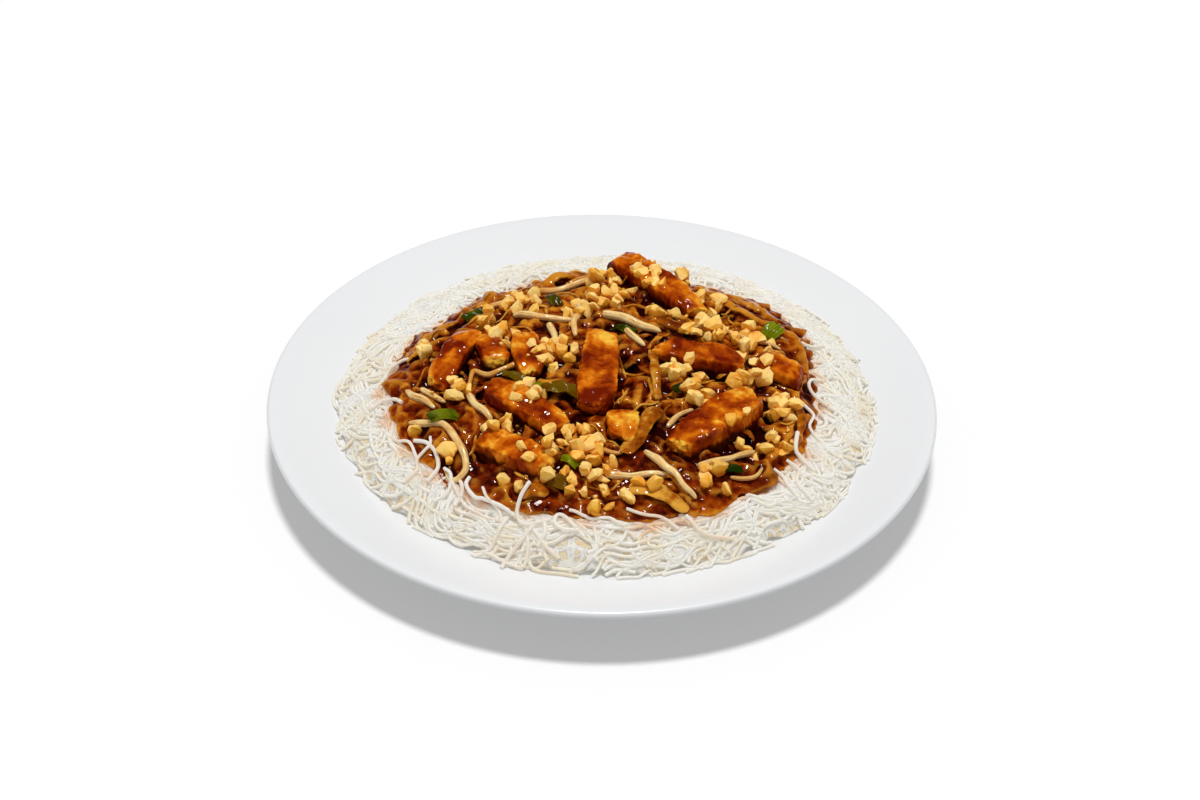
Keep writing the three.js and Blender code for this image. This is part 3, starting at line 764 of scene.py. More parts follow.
class NoodleSettings(bpy.types.PropertyGroup):
    diameter: length("Diameter", "Thickness of one noodle", 1.55)
    bundles: number("Bundles", "Bundles of noodles in the ring", 450)
    seed: number("Seed", "Changes how the noodles lie", 11)
    light: colour("Noodle", 211, 209, 203)
    dull: colour("Noodle in its duller places", 205, 196, 174)
    stain: colour("Noodle stained by sauce", 216, 158, 104)
    # Painted shade: the colour that deep-lying noodles and the core between the strands take.
    gap: colour("Depth between the noodles", 204, 178, 124)
    soaked: colour("Noodles soaked by sauce, deep down", 178, 104, 34)
    # Painted glow: the colour of the emission that stands in for light scattering inside the noodles.
    glow: colour("Light inside the noodles", 255, 251, 241)


class StirFrySettings(bpy.types.PropertyGroup):
    voxel: length("Voxel", "Finest detail of the sauce", 0.75)
    shreds: number("Shreds", "Shreds under the sauce", 250)
    lumps: number("Lumps", "Small lumps under the sauce", 260)
    seed: number("Seed", "Changes how the shreds lie", 5)
    # The darkest sauce: sauce that pools, and painted shade in hollows and creases.
    deep: colour("Sauce where it is deepest", 44, 2, 0)
    thick: colour("Sauce where it is thick", 116, 32, 0)
    thin: colour("Sauce where it is thin", 166, 70, 0)
    amber: colour("Sauce on the ridges", 216, 130, 18)
    onion: colour("Onion under the sauce", 220, 152, 46)


class ChickenSettings(bpy.types.PropertyGroup):
    grid: length("Grid", "Size of a face on a strip", 0.8)
    bright: colour("Bare meat", 255, 196, 66)
    light: colour("Meat tinted by the glaze", 226, 122, 14)
    brown: colour("Glaze", 174, 68, 0)
    dark: colour("Glaze where it is thick", 116, 26, 0)
    deep: colour("Glaze in the shade", 40, 1, 0)


class SproutSettings(bpy.types.PropertyGroup):
    pale: colour("Sprout", 255, 222, 154)
    brown: colour("Sprout coloured by sauce", 218, 146, 42)
    # Painted shade in a sprout's grooves.
    groove_shade: colour("Grooves of a sprout", 190, 128, 56)


class OnionSettings(bpy.types.PropertyGroup):
    pale: colour("Onion", 226, 164, 60)
    brown: colour("Onion coloured by sauce", 172, 92, 8)
    dark: colour("Onion under thick sauce", 104, 34, 0)
    threads: number("Thin shreds", "Loose thin shreds on the sauce", 60)
    seed: number("Seed", "Changes how the thin shreds lie", 77)


class SpringOnionSettings(bpy.types.PropertyGroup):
    light: colour("Light green", 140, 150, 4)
    dark: colour("Dark green", 26, 46, 0)
    stained: colour("Leaf stained by sauce", 118, 72, 2)


class PeanutSettings(bpy.types.PropertyGroup):
    size: length("Size", "Length of a common piece", 8.8)
    shapes: number("Shapes", "Number of different shapes", 16)
    crumbs: number("Crumbs", "Crumbs for every second piece", 1)
    seed: number("Seed", "Changes how the pieces lie", 23)
    pale: colour("Peanut", 255, 221, 138)
    gold: colour("Duller peanut", 255, 194, 64)
    toasted: colour("Toasted peanut", 236, 158, 40)
    sauced: colour("Peanut where sauce wets it", 184, 92, 2)


class StageSettings(bpy.types.PropertyGroup):
    floor: colour("Floor", 250, 250, 250)
    sun: bpy.props.FloatProperty(
        name="Sun", description="Strength from overhead", default=1.75, min=0
    )
    fill: bpy.props.FloatProperty(
        name="Fill", description="Strength from all round", default=0.5, min=0
    )


class DishSettings(bpy.types.PropertyGroup):
    plate: bpy.props.PointerProperty(name="Plate", type=PlateSettings)
    noodles: bpy.props.PointerProperty(name="Noodles", type=NoodleSettings)
    stir_fry: bpy.props.PointerProperty(name="Stir-fry", type=StirFrySettings)
    chicken: bpy.props.PointerProperty(name="Chicken", type=ChickenSettings)
    sprouts: bpy.props.PointerProperty(name="Bean sprouts", type=SproutSettings)
    onion: bpy.props.PointerProperty(name="Onion", type=OnionSettings)
    spring_onion: bpy.props.PointerProperty(name="Spring onion", type=SpringOnionSettings)
    peanuts: bpy.props.PointerProperty(name="Peanuts", type=PeanutSettings)
    stage: bpy.props.PointerProperty(name="Stage", type=StageSettings)


# ------------------------------------------------------------------ plate

def plate_profile():
    """Radius and height of each ring, from the middle of the well over the lip to the underside."""
    lip = PLATE_RADIUS - LIP_RADIUS
    top = [0, 30, 60, 80, *np.linspace(WELL_RADIUS, WALL_RADIUS, 14), *np.linspace(108, lip, 10)]
    rings = [(radius, float(plate_top(radius))) for radius in top]
    middle = rings[-1][1] - LIP_RADIUS
    for turn in np.linspace(math.pi / 2, -math.pi / 2, 12)[1:]:
        rings.append((lip + LIP_RADIUS * math.cos(turn), middle + LIP_RADIUS * math.sin(turn)))
    for radius in (*np.linspace(146, WALL_RADIUS, 8), 98, 94):
        rings.append((radius, float(plate_top(radius)) - PLATE_THICKNESS))
    inner, outer = FOOT
    rings += [(outer + 3, 3.4), (outer + 1, FOOT_HEIGHT), (outer + 0.3, 0.5), (outer - 0.5, 0)]
    rings += [(inner + 0.5, 0), (inner - 0.3, 0.5), (inner - 1, FOOT_HEIGHT), (60, FOOT_HEIGHT)]
    return [*rings, (0, FOOT_HEIGHT)]


def glaze_finish(settings):
    finish = Finish("Plate glaze")
    cloud = finish.noise(40)
    return finish.shade(
        Base_Color=finish.mix(cloud, settings.glaze, settings.shade),
        Roughness=0.22 + 0.1 * cloud,
        Coat_Weight=0.25,
        Coat_Roughness=0.1,
        Normal=finish.bump(finish.noise(14), 0.12),
    )


class DISH_OT_plate(bpy.types.Operator):
    """Make the white plate with its sloping rim and foot ring"""

    bl_idname = "dish.plate"
    bl_label = "Plate"

    def execute(self, context):
        settings = context.scene.dish.plate
        plate = ring_mesh("glazed_plate", plate_profile(), settings.segments)
        dress(plate, glaze_finish(settings), "plate_glaze", "plate")
        return {"FINISHED"}


# ------------------------------------------------------------------ noodles

NOODLE_STEP = 1.9  # distance between a noodle's points
NOODLE_REACH = (35, 130)  # length of a noodle
WIDEST_RING = 8200  # above the greatest difference of the ring's squared radii
SIDE_BY_SIDE = (0.45, 0.3, 0.15, 0.1)  # how often 1, 2, 3 or 4 noodles stick together
SPOTS_TRIED = 3  # places tried for a bundle, of which it takes the barest
SPOT_CELLS = 5  # cells looked at on each side of a place
OVER_SHARE = 0.25  # how many noodles may lie over the sauce
EDGE_MARGINS = (-1.5, 0, 1.5, 3.5, 6)  # how far from the outer edge a noodle keeps
GLOW = 0.19  # painted glow: emission that stands in for light scattering through the translucent noodles
CORE_DROP = (1.1, 0.9)  # how far the core lies under the noodles, at the sauce and at the edge
CORE_LIFT = 0.3  # how far the core's skin keeps above the plate
BOX_REACH = 126  # half the side of the square in which noodles are stacked
CELL = 0.8  # side of a cell of that square


def thinning(share):
    """How much lower the noodles lie where they thin out onto the plate."""
    return 1.9 * smoothstep(0.7, 1, share)


def loose_top(x, y):
    """Surface of the loose noodles."""
    share = ring_share(x, y)
    return bed_top(x, y) - (0.6 * (1 - smoothstep(0, 0.3, share)) + thinning(share))


def core_top(x, y):
    """Surface of the noodles that are stuck together under the loose ones."""
    inner, outer = CORE_DROP
    share = ring_share(x, y)
    drop_by = inner + (outer - inner) * np.clip(share, 0, 1) + thinning(share)
    return np.maximum(bed_top(x, y) - drop_by, plate_top(np.hypot(x, y)))


class Pile:
    """How high the noodles laid so far reach, on a fine grid."""

    def __init__(self, diameter):
        self.diameter = diameter
        side = np.arange(-BOX_REACH, BOX_REACH, CELL)
        x, y = np.meshgrid(side, side, indexing="ij")
        inside = ring_share(x, y, SAUCE_RADII) < 0
        sauce = np.where(inside, np.maximum(heap_top(x, y), BED_LEVEL + 1.5), 0)
        self.core = core_top(x, y)
        self.height = self.core.copy()
        self.bare = np.maximum(loose_top(x, y), self.height + 0.4 * diameter)
        self.sauced = np.maximum(self.bare, sauce + 0.4 * diameter)

    def cells(self, line):
        place = np.round((line[:, :2] + BOX_REACH) / CELL).astype(int)
        return np.clip(place, 1, len(self.height) - 2)

    def thickness(self, spot):
        """How much lies on the core round a spot."""
        i, j = self.cells(np.array([spot]))[0]
        near = tuple(slice(k - SPOT_CELLS, k + SPOT_CELLS + 1) for k in (i, j))
        return np.mean(self.height[near] - self.core[near])

    def lay(self, line, rise, over):
        """Heights for a noodle that lies on those before it and over or under the sauce."""
        i, j = self.cells(line).T
        nine = [(i + a, j + b) for a in (-1, 0, 1) for b in (-1, 0, 1)]
        under = np.max([self.height[cell] for cell in nine], axis=0)
        level = np.maximum(smoothed(under, 7), under - 0.4 * self.diameter) + self.diameter / 2
        top = (self.sauced if over else self.bare)[i, j]
        if over:
            level = np.maximum(level, top)
        level = np.minimum(level, top + rise * (1.1 - np.clip(ring_share(*line.T), 0, 1)))
        level = smoothed(level, 5)
        for cell in nine:
            np.maximum.at(self.height, cell, level + 0.1 * self.diameter)
        np.maximum.at(self.height, (i, j), level + 0.4 * self.diameter)
        return np.column_stack([line, level])


def wander(rng, reach, start, heading):
    """A line that meanders and keeps to the ring of bare noodles."""
    travel = np.arange(int(reach / NOODLE_STEP)) * NOODLE_STEP
    turn = rng.normal(0, 0.016) * travel
    for wave, swing in ((21, 0.5), (43, 0.8), (90, 1.0)):
        turn += rng.uniform(0.4, 1) * swing * np.sin(TAU * travel / wave + rng.uniform(0, TAU))
    x, y = start
    line = [(x, y)]
    for bend in turn:
        share = ring_share(x, y, SAUCE_RADII)
        pull = 12 * (max(0.0, -0.02 - share) - max(0.0, share - 1.02)) / math.hypot(x, y)
        step_x, step_y = math.cos(heading + bend) + pull * x, math.sin(heading + bend) + pull * y
        scale = NOODLE_STEP / math.hypot(step_x, step_y)
        x, y = x + step_x * scale, y + step_y * scale
        line.append((x, y))
    return np.array(line)


def within_ring(line, overlap, margin):
    """The longest part of a line between an overlap on the sauce and a margin from the edge."""
    x, y = line.T
    reach, angle = np.hypot(x, y), np.arctan2(y, x)
    over = (reach < around(SAUCE_RADII, angle) - overlap) | (reach > around(BED_RADII, angle) - margin)
    breaks = [-1, *np.flatnonzero(over), len(line)]
    gap = int(np.argmax(np.diff(breaks)))
    return line[breaks[gap] + 1:breaks[gap + 1]]


def ring_spot(rng):
    """A spot anywhere on the ring of noodles."""
    inner, outer = 0, 0
    while outer**2 - inner**2 < rng.uniform(0, WIDEST_RING):
        angle = rng.uniform(0, TAU)
        inner, outer = around(SAUCE_RADII, angle), around(BED_RADII, angle)
    radius = inner + (outer - inner) * rng.uniform(0, 0.97)
    return radius * math.cos(angle), radius * math.sin(angle)


def bundle(rng, pile):
    """A few noodles side by side, stuck together as they dried, where little lies yet."""
    start = min((ring_spot(rng) for _ in range(SPOTS_TRIED)), key=pile.thickness)
    heading = math.atan2(start[1], start[0]) + math.pi / 2 * rng.choice((-1, 1)) + rng.normal(0, 0.7)
    middle = wander(rng, rng.uniform(*NOODLE_REACH), start, heading)
    along = np.gradient(middle, axis=0)
    along /= np.linalg.norm(along, axis=1)[:, None]
    across = np.stack([-along[:, 1], along[:, 0]], 1)
    strands = rng.choice((1, 2, 3, 4), p=SIDE_BY_SIDE)
    for k in range(strands):
        sway = rng.uniform(0.2, 1.2) * np.sin(np.arange(len(middle)) * rng.uniform(0.1, 0.3) + k)
        aside = (k - (strands - 1) / 2) * pile.diameter * rng.uniform(1.1, 1.7) + sway
        line = middle + across * aside[:, None]
        cut = rng.integers(0, max(1, len(line) // 3), 2)
        line = line[cut[0]:len(line) - cut[1]]
        over = rng.uniform() < OVER_SHARE
        line = within_ring(line, rng.uniform(0, 6) if over else 9, rng.choice(EDGE_MARGINS))
        if len(line) > 5:
            rise = rng.choice((0.2, 0.6, 1.2), p=(0.4, 0.4, 0.2))
            along_sauce = np.count_nonzero(ring_share(*line.T, SAUCE_RADII) < 0.08) > 5
            if not (over and along_sauce):
                yield pile.lay(line, rise, over)


def noodle_numbers(rng, line):
    """What a noodle carries: girth, its own tone, stain of the sauce and how deep it lies."""
    edge = unevenness(line, 9, 3) * 2.5
    inner = around(SAUCE_RADII, np.arctan2(line[:, 1], line[:, 0]))
    distance = np.hypot(line[:, 0], line[:, 1]) - inner + edge
    deep = np.clip((loose_top(line[:, 0], line[:, 1]) - line[:, 2]) / 1.2, 0, 1)
    stain = 1 - smoothstep(-2, 4 + 6 * deep, distance)
    return {"girth": rng.uniform(0.8, 1.15), "tone": rng.uniform(0, 1), "stain": stain, "deep": deep}


def noodle_finish(settings):
    finish = Finish("Rice vermicelli")
    tone, stain, deep = (finish.attribute(name) for name in ("tone", "stain", "deep"))
    patch = finish.noise(7)
    clean = finish.mix((0.5 * tone + 2 * (patch - 0.5)).clamped(), settings.light, settings.dull)
    # Painted shade: the deeper a noodle lies under the others, the more of the gap colour it takes.
    clean = finish.mix((deep + patch - 0.5).clamped() * 0.8, clean, settings.gap)
    amount = (stain * (0.25 + 1.3 * (finish.noise(3.5) - 0.35))).clamped()
    skin = finish.mix(amount, clean, settings.stain)
    return finish.shade(
        Base_Color=skin,
        Roughness=0.4,
        Specular_IOR_Level=0.15,
        Subsurface_Weight=1.0,
        Subsurface_Radius=(1.0, 0.9, 0.7),
        Subsurface_Scale=2 * MM,
        # Painted glow, tinted where the sauce stains the noodles.
        Emission_Color=finish.mix(amount, settings.glow, settings.stain),
        Emission_Strength=GLOW,
        Normal=finish.bump(finish.noise(0.6), 0.05),
    )


def gap_finish(settings):
    """The noodles deep down, seen only through gaps."""
    finish = Finish("Vermicelli core")
    winding = finish.noise(2.4, detail=0).off_middle()
    for size in (3, 3.7, 4.6):
        winding = winding.lower_of(finish.noise(size, detail=0).off_middle())
    strand = winding.between(0.08, 0.02)
    patch = finish.noise(5, detail=3)
    soaked = (finish.attribute("edge") + 0.3 * (patch - 0.5)).between(0.28, 0.0)
    whiter = (strand + patch - 0.35).clamped()
    # Painted shade: the core takes the gap colour between its strand lines and the noodle colour along
    # them.
    body = finish.mix(whiter, settings.gap, settings.light)
    return finish.shade(
        Base_Color=finish.mix(soaked * 0.85, body, settings.soaked),
        Roughness=0.5,
        Specular_IOR_Level=0.1,
        Subsurface_Weight=1.0,
        Subsurface_Radius=(1.0, 0.9, 0.7),
        Subsurface_Scale=0.6 * MM,
        # Painted glow, as on the loose noodles.
        Emission_Color=finish.mix(soaked, settings.glow, settings.soaked),
        Emission_Strength=GLOW,
        Normal=finish.bump(strand, 0.7),
    )


def core_ring(share):
    """A ring of the noodles' core: a little under the surface, with ridges as of noodles."""

    def ring(angle):
        inner = around(HEAP_RADII, angle) - 6
        edge = around(BED_RADII, angle) - 1.3 - unevenness(on_circle(angle, 120), 6, 9)
        radius = inner + (edge - inner) * share
        spot = on_circle(angle, radius)
        ridges = 0.35 * unevenness(spot, 1.6, 4) + 0.35 * unevenness(spot, 5, 5)
        level = core_top(*spot.T) + ridges * (share < 1)
        return radius, np.maximum(level, plate_top(radius)) + CORE_LIFT

    return ring


def noodle_core():
    """The noodles that are stuck together, from their surface down into the plate's glaze."""
    over = [core_ring(share) for share in np.linspace(0, 1, 34)]
    under = [(radius, plate_top(radius) - 0.6) for radius in (WALL_RADIUS, 98, 92, WELL_RADIUS, 0)]
    core = ring_mesh("noodle_core", [(0, BED_LEVEL), *over, *under], 400)
    x, y, _ = read_points(core.data).T
    put_attribute(core.data, "edge", np.clip(ring_share(x, y), 0, 1))
    return core


class DISH_OT_noodles(bpy.types.Operator):
    """Make the bed of vermicelli: its core and the loose noodles on it"""

    bl_idname = "dish.noodles"
    bl_label = "Noodles"

    def execute(self, context):
        settings = context.scene.dish.noodles
        diameter = settings.diameter / MM
        material = noodle_finish(settings)
        dress(noodle_core(), gap_finish(settings), "noodle", "noodle_bed")
        rng = np.random.default_rng(settings.seed)
        pile = Pile(diameter)
        laid = [line for _ in range(settings.bundles) for line in bundle(rng, pile)]
        carried = [(line, noodle_numbers(rng, line)) for line in laid]
        noodles = sweep("loose_noodles", carried, diameter, diameter, 6, material)
        dress(noodles, material, "noodle", "noodle_bed")
        return {"FINISHED"}


class DISH_OT_curls(bpy.types.Operator):
    """Lay the noodles that curl over the edge of the sauce"""

    bl_idname = "dish.curls"
    bl_label = "Noodles over the sauce"

    def execute(self, context):
        settings = context.scene.dish.noodles
        diameter = 1.1 * settings.diameter / MM
        rng = np.random.default_rng(settings.seed)
        lines = []
        for points in NOODLES_ON_SAUCE:
            line = smooth_path(points, 1.2)
            below = [drop(x, y)[0].z for x, y, _ in line]
            line[:, 2] = 0.7 * line[:, 2] + smoothed(below, 7) + diameter / 2
            lines.append((line, {**noodle_numbers(rng, line), "stain": rng.uniform(0.05, 0.4)}))
        material = bpy.data.materials["Rice vermicelli"]
        curls = sweep("noodles_on_sauce", lines, diameter, diameter, 8, material)
        dress(curls, material, "noodle", "noodle_bed")
        return {"FINISHED"}


# ------------------------------------------------------------------ chicken

EDGE = 1.3  # rounding of a strip's edges
BLUNT = 0.22  # how much narrower a strip's ends are
ARCH = 0.02  # how far a strip's middle is raised, for each millimetre of its length


def box_grid(counts):
    """Points from -1 to 1 on the skin of a box, and its faces."""
    index, points, faces = {}, [], []

    def corner(place):
        if place not in index:
            index[place] = len(points)
            points.append([2 * place[k] / counts[k] - 1 for k in range(3)])
        return index[place]

    for axis in range(3):
        u, v = (axis + 1) % 3, (axis + 2) % 3
        for side in (0, counts[axis]):
            for i in range(counts[u]):
                for j in range(counts[v]):
                    face = []
                    for a, b in ((0, 0), (1, 0), (1, 1), (0, 1)):
                        place = [side] * 3
                        place[u], place[v] = i + a, j + b
                        face.append(corner(tuple(place)))
                    faces.append(face if side else face[::-1])
    return np.array(points), faces


def strip_axes(start, end):
    """Functions of the share of a strip's length: the middle line and its three directions."""
    start, end = np.array(start, float), np.array(end, float)
    reach = np.linalg.norm(end - start)
    middle = (start + end) / 2 + (0, 0, ARCH * reach)

    def at(share):
        share = share[:, None]
        line = (start * (2 * share - 1) * (share - 1) + 4 * middle * share * (1 - share)
                + end * share * (2 * share - 1))
        along = start * (4 * share - 3) + middle * (4 - 8 * share) + end * (4 * share - 1)
        along /= np.linalg.norm(along, axis=1)[:, None]
        side = np.cross((0, 0, 1), along)
        side /= np.linalg.norm(side, axis=1)[:, None]
        return line, along, side, np.cross(along, side)

    return reach, at


def chicken_strip(name, start, end, width, thickness, bare, grid, seed):
    """A fried strip: a rounded baton with a lumpy crust, fibres and uneven cut ends."""
    rng = np.random.default_rng(seed)
    reach, at = strip_axes(start, end)
    half = np.array([reach, width, thickness]) / 2
    unit, faces = box_grid([max(4, round(2 * h / grid)) for h in half])
    flat = unit * half
    inner = np.clip(flat, EDGE - half, half - EDGE)
    facing = flat - inner
    facing /= np.linalg.norm(facing, axis=1)[:, None]
    skin = inner + EDGE * facing
    lumps = 0.28 * unevenness(skin, 6, seed) + 0.2 * unevenness(skin, 2.6, seed + 1)
    fibres = 0.11 * unevenness(skin * (1, 0.2, 0.2), 1.1, seed + 2)
    crumb = 0.12 * unevenness(skin, 1.2, seed + 3)
    end_face = smoothstep(0.5, 0.95, np.abs(facing[:, 0]))
    relief = lumps + fibres + crumb + 0.3 * end_face * unevenness(skin, 1.3, seed + 4)
    skin += facing * np.minimum(relief, 1.0)[:, None]
    chop(rng, skin, 5, (0.8, 0.93), 0.85, (0.7, 1, 1))
    share = 0.5 + skin[:, 0] / reach
    taper = 1 - BLUNT * np.abs(2 * share - 1) ** 4
    swell = 1 + 0.06 * np.sin(6 * share + rng.uniform(0, TAU))
    slant = rng.uniform(-0.25, 0.25, 2) * np.sign(skin[:, :1]) * (np.abs(2 * share - 1) ** 2)[:, None]
    line, along, side, up = at(share)
    points = line + side * (skin[:, 1] * taper * swell)[:, None] + up * (skin[:, 2] * taper)[:, None]
    points += along * (slant[:, :1] * skin[:, 1:2] + slant[:, 1:] * skin[:, 2:3])
    return new_mesh(
        name, points, faces=faces, end=end_face,
        side=smoothstep(0.5, 0.95, np.abs(facing[:, 1])),
        grain=(skin + (0, 0, 50 * seed)) * MM,
        bare=np.full(len(points), float(bare)),
        low=np.clip(0.5 - skin[:, 2] / thickness, 0, 1),
    )


def chicken_finish(settings):
    finish = Finish("Glazed chicken")
    names = ("end", "low", "hollow", "bare", "crease")
    end, low, hollow, bare, crease = (finish.attribute(name) for name in names)
    grain = finish.node("ShaderNodeAttribute", {"attribute_name": "grain"}).outputs["Vector"]
    fibre = finish.noise(0.8, detail=2, stretch=(1, 1, 0.22), at=grain)
    blotch = finish.noise(7, detail=2, distortion=0.3, at=grain)
    fine = finish.noise(1.5, detail=3, at=grain)
    # Glaze colour: lighter where it is thin or the meat is bare, and darker in creases and towards the
    # bottom of the strip, which is painted shade.
    thin = 1.5 * (blotch - 0.5) + 0.22 * (fine - 0.5) + 0.18 * (fibre - 0.5) - 0.08 * crease
    thin = thin + 0.2 * end * (1 - low) + 0.12 * (bare - 0.6) - 0.2 * (low - 0.3)
    glaze = finish.ramp(
        (thin + 0.5).clamped(),
        (0.34, settings.dark), (0.52, settings.brown), (0.68, settings.light), (0.84, settings.bright),
    )
    # Painted shade: lower parts, long sides and hollows of a strip take the colour of the glaze in the
    # shade.
    shade = 1.5 * (low - 0.5) + 0.35 * finish.attribute("side") + 0.7 * hollow + 0.6 * (fine - 0.5)
    shade = shade.between(0, 0.7)
    return finish.shade(
        Base_Color=finish.mix(shade * 0.9, glaze, settings.deep),
        Roughness=0.35 + 0.2 * fine,
        Specular_IOR_Level=0.02,
        Coat_Weight=1.0 - 0.85 * (shade + end + finish.attribute("side")).clamped(),
        Coat_IOR=1.4,
        Coat_Roughness=0.03,
        Normal=finish.bump(
            0.3 * fibre + 0.5 * finish.noise(1, detail=1) + 1.1 * finish.noise(2.6), 1.15
        ),
    )


class DISH_OT_chicken(bpy.types.Operator):
    """Make the glazed chicken strips"""

    bl_idname = "dish.chicken"
    bl_label = "Chicken strips"

    def execute(self, context):
        settings = context.scene.dish.chicken
        material = chicken_finish(settings)
        for node, strip, seed in zip(nodes_of("chicken", CHICKEN), CHICKEN, range(100, 200, 7)):
            piece = chicken_strip("glazed_" + node, *strip, settings.grid / MM, seed)
            mark_creases(piece.data, 10)
            dress(piece, material, "chicken", node)
        return {"FINISHED"}


# ------------------------------------------------------------------ sprouts and onion

def stalk(rng, points, diameter):
    """A bean sprout's line: a little crooked, thinner at both ends."""
    line = smooth_path(on_dish(points), 1.0)
    line += 0.4 * np.stack([unevenness(line, 7, rng.integers(1e6)) for _ in range(3)], 1)
    share = np.linspace(-1, 1, len(line))
    girth = diameter * (1.05 - 0.15 * share - 0.3 * np.abs(share) ** 3 - 0.35 * share**24)
    girth *= 1 + 0.08 * unevenness(line, 5, 8)
    along = np.arange(len(line)) * 1.0
    return line, girth, along


def sprout_finish(settings):
    finish = Finish("Bean sprout")
    sauce, around_it, along = (finish.attribute(n) for n in ("sauce", "around", "along"))
    ribs = (around_it * (TAU * 5) + 1.2 * (finish.noise(6) - 0.5)).wave()
    blotch = finish.noise(3.5, detail=3)
    amount = (sauce * 1.1 + 2.0 * (blotch - 0.52)).clamped()
    skin = finish.mix(amount, settings.pale, settings.brown)
    # Painted shade: the grooves between the ribs are darker.
    groove_shade = (ribs * 0.5 + 0.5).between(0.5, 1) * finish.noise(4).between(0.35, 0.75)
    return finish.shade(
        Base_Color=finish.mix(groove_shade, skin, settings.groove_shade),
        Roughness=0.25 + 0.2 * blotch,
        Specular_IOR_Level=0.1,
        Subsurface_Weight=0.3,
        Subsurface_Radius=(1.0, 0.7, 0.4),
        Subsurface_Scale=1.2 * MM,
        Coat_Weight=0.6,
        Coat_Roughness=0.06,
        Normal=finish.bump(ribs * -0.25 + finish.noise(1.5) + 0.002 * along, 0.2),
    )


class DISH_OT_sprouts(bpy.types.Operator):
    """Make the bean sprouts"""

    bl_idname = "dish.sprouts"
    bl_label = "Bean sprouts"

    def execute(self, context):
        rng = np.random.default_rng(31)
        lines = []
        for points, diameter, sauce in SPROUTS:
            line, girth, along = stalk(rng, points, diameter)
            lines.append((line, {"girth": girth, "along": along, "sauce": sauce}))
        material = sprout_finish(context.scene.dish.sprouts)
        piece = sweep("sprout_stalks", lines, 1, 1, 14, material)
        dress(piece, material, "sprout", *nodes_of("sprout", SPROUTS))
        return {"FINISHED"}


def onion_finish(settings):
    finish = Finish("Cooked onion")
    sauce, across = finish.attribute("sauce"), finish.attribute("around")
    blotch = finish.noise(3.4, detail=3)
    fine = finish.noise(1.6, detail=3)
    rim = (across * (2 * TAU)).wave()
    amount = 0.22 + 0.6 * sauce + 1.9 * (blotch - 0.5) + 0.9 * (fine - 0.5) + 0.12 * rim
    skin = finish.ramp(
        amount.clamped(), (0.0, settings.pale), (0.45, settings.brown), (1.0, settings.dark)
    )
    return finish.shade(
        Base_Color=skin,
        Roughness=0.3 + 0.15 * blotch,
        Specular_IOR_Level=0.02,
        Coat_Weight=1.0,
        Coat_IOR=1.36,
        Coat_Roughness=0.03,
        Normal=finish.bump(finish.noise(1.2, detail=2) + 0.5 * finish.noise(3), 0.7),
    )


class DISH_OT_onion(bpy.types.Operator):
    """Make the wide bands of cooked onion"""

    bl_idname = "dish.onion"
    bl_label = "Onion"

    def execute(self, context):
        material = onion_finish(context.scene.dish.onion)
        for node, (points, width, thickness, sauce) in zip(nodes_of("onion", ONION), ONION):
            line = smooth_path(on_dish(points), 0.8)
            line[:, 2] += 0.3 * unevenness(line, 9, 12)
            share = np.linspace(-1, 1, len(line))
            girth = 1 - 0.3 * np.abs(share) ** 3 - 0.4 * share**20
            girth *= 1 + 0.08 * unevenness(line, 7, 13)
            numbers = {"girth": girth, "sauce": sauce}
            piece = sweep("cooked_" + node, [(line, numbers)], width, thickness, 24, material)
            roughen(piece.data, 0.3, 4)
            dress(piece, material, "onion", node)
        return {"FINISHED"}


# ------------------------------------------------------------------ spring onion

LEAF_THICKNESS = 1.1
RIBS = 7


def leaf(middle, reach, width, turn, pitch, arch, seed):
    """A cut piece of leaf, ribbed along, hollow across and torn a little at its ends."""
    rows, columns = 26, 29
    u, v = np.meshgrid(np.linspace(-1, 1, rows), np.linspace(-1, 1, columns), indexing="ij")
    u, v = u.ravel(), v.ravel()
    flat = np.stack([u * reach / 2, v * width / 2], 1)
    torn = 1 + 0.1 * unevenness(flat * (0, 1), 1.6, seed)
    waist = 1 - 0.22 * np.abs(u) ** 3 + 0.05 * unevenness(flat * (1, 0), 4, seed + 1)
    bend = arch * (1 - u**2) - 0.16 * width * v**2 + 0.35 * unevenness(flat, 4, seed + 2)
    ridge = 0.16 * np.cos(v * math.pi * RIBS + 0.5 * unevenness(flat, 4, seed + 3))
    sheet = np.stack([flat[:, 0] * torn, flat[:, 1] * waist, bend + ridge], 1)
    turned = Matrix.Rotation(math.radians(turn), 3, "Z") @ Matrix.Rotation(-math.radians(pitch), 3, "Y")
    points = sheet @ np.array(turned).T + on_dish([middle])
    faces = [
        (a, a + columns, a + columns + 1, a + 1)
        for i in range(rows - 1) for a in range(i * columns, (i + 1) * columns - 1)
    ]
    return points, faces, v


def leaf_finish(settings):
    finish = Finish("Spring onion")
    across, dark, sauce = (finish.attribute(name) for name in ("across", "dark", "sauce"))
    ribs = (across * (math.pi * RIBS) + 0.8 * finish.noise(5)).wave()
    amount = (dark * 0.85 + 0.2 * ribs + 1.6 * (finish.noise(3.5, detail=2) - 0.42)).clamped()
    green = finish.mix(amount, settings.light, settings.dark)
    stained = (sauce * 1.1 + 0.9 * (finish.noise(2.5) - 0.5)).clamped() * 0.9
    return finish.shade(
        Base_Color=finish.mix(stained, green, settings.stained),
        Roughness=0.3 + 0.2 * finish.noise(3),
        Specular_IOR_Level=0.03,
        Coat_Weight=0.7,
        Coat_IOR=1.3,
        Coat_Roughness=0.05,
        Normal=finish.bump(finish.noise(1.4) + 0.3 * ribs, 0.3),
    )


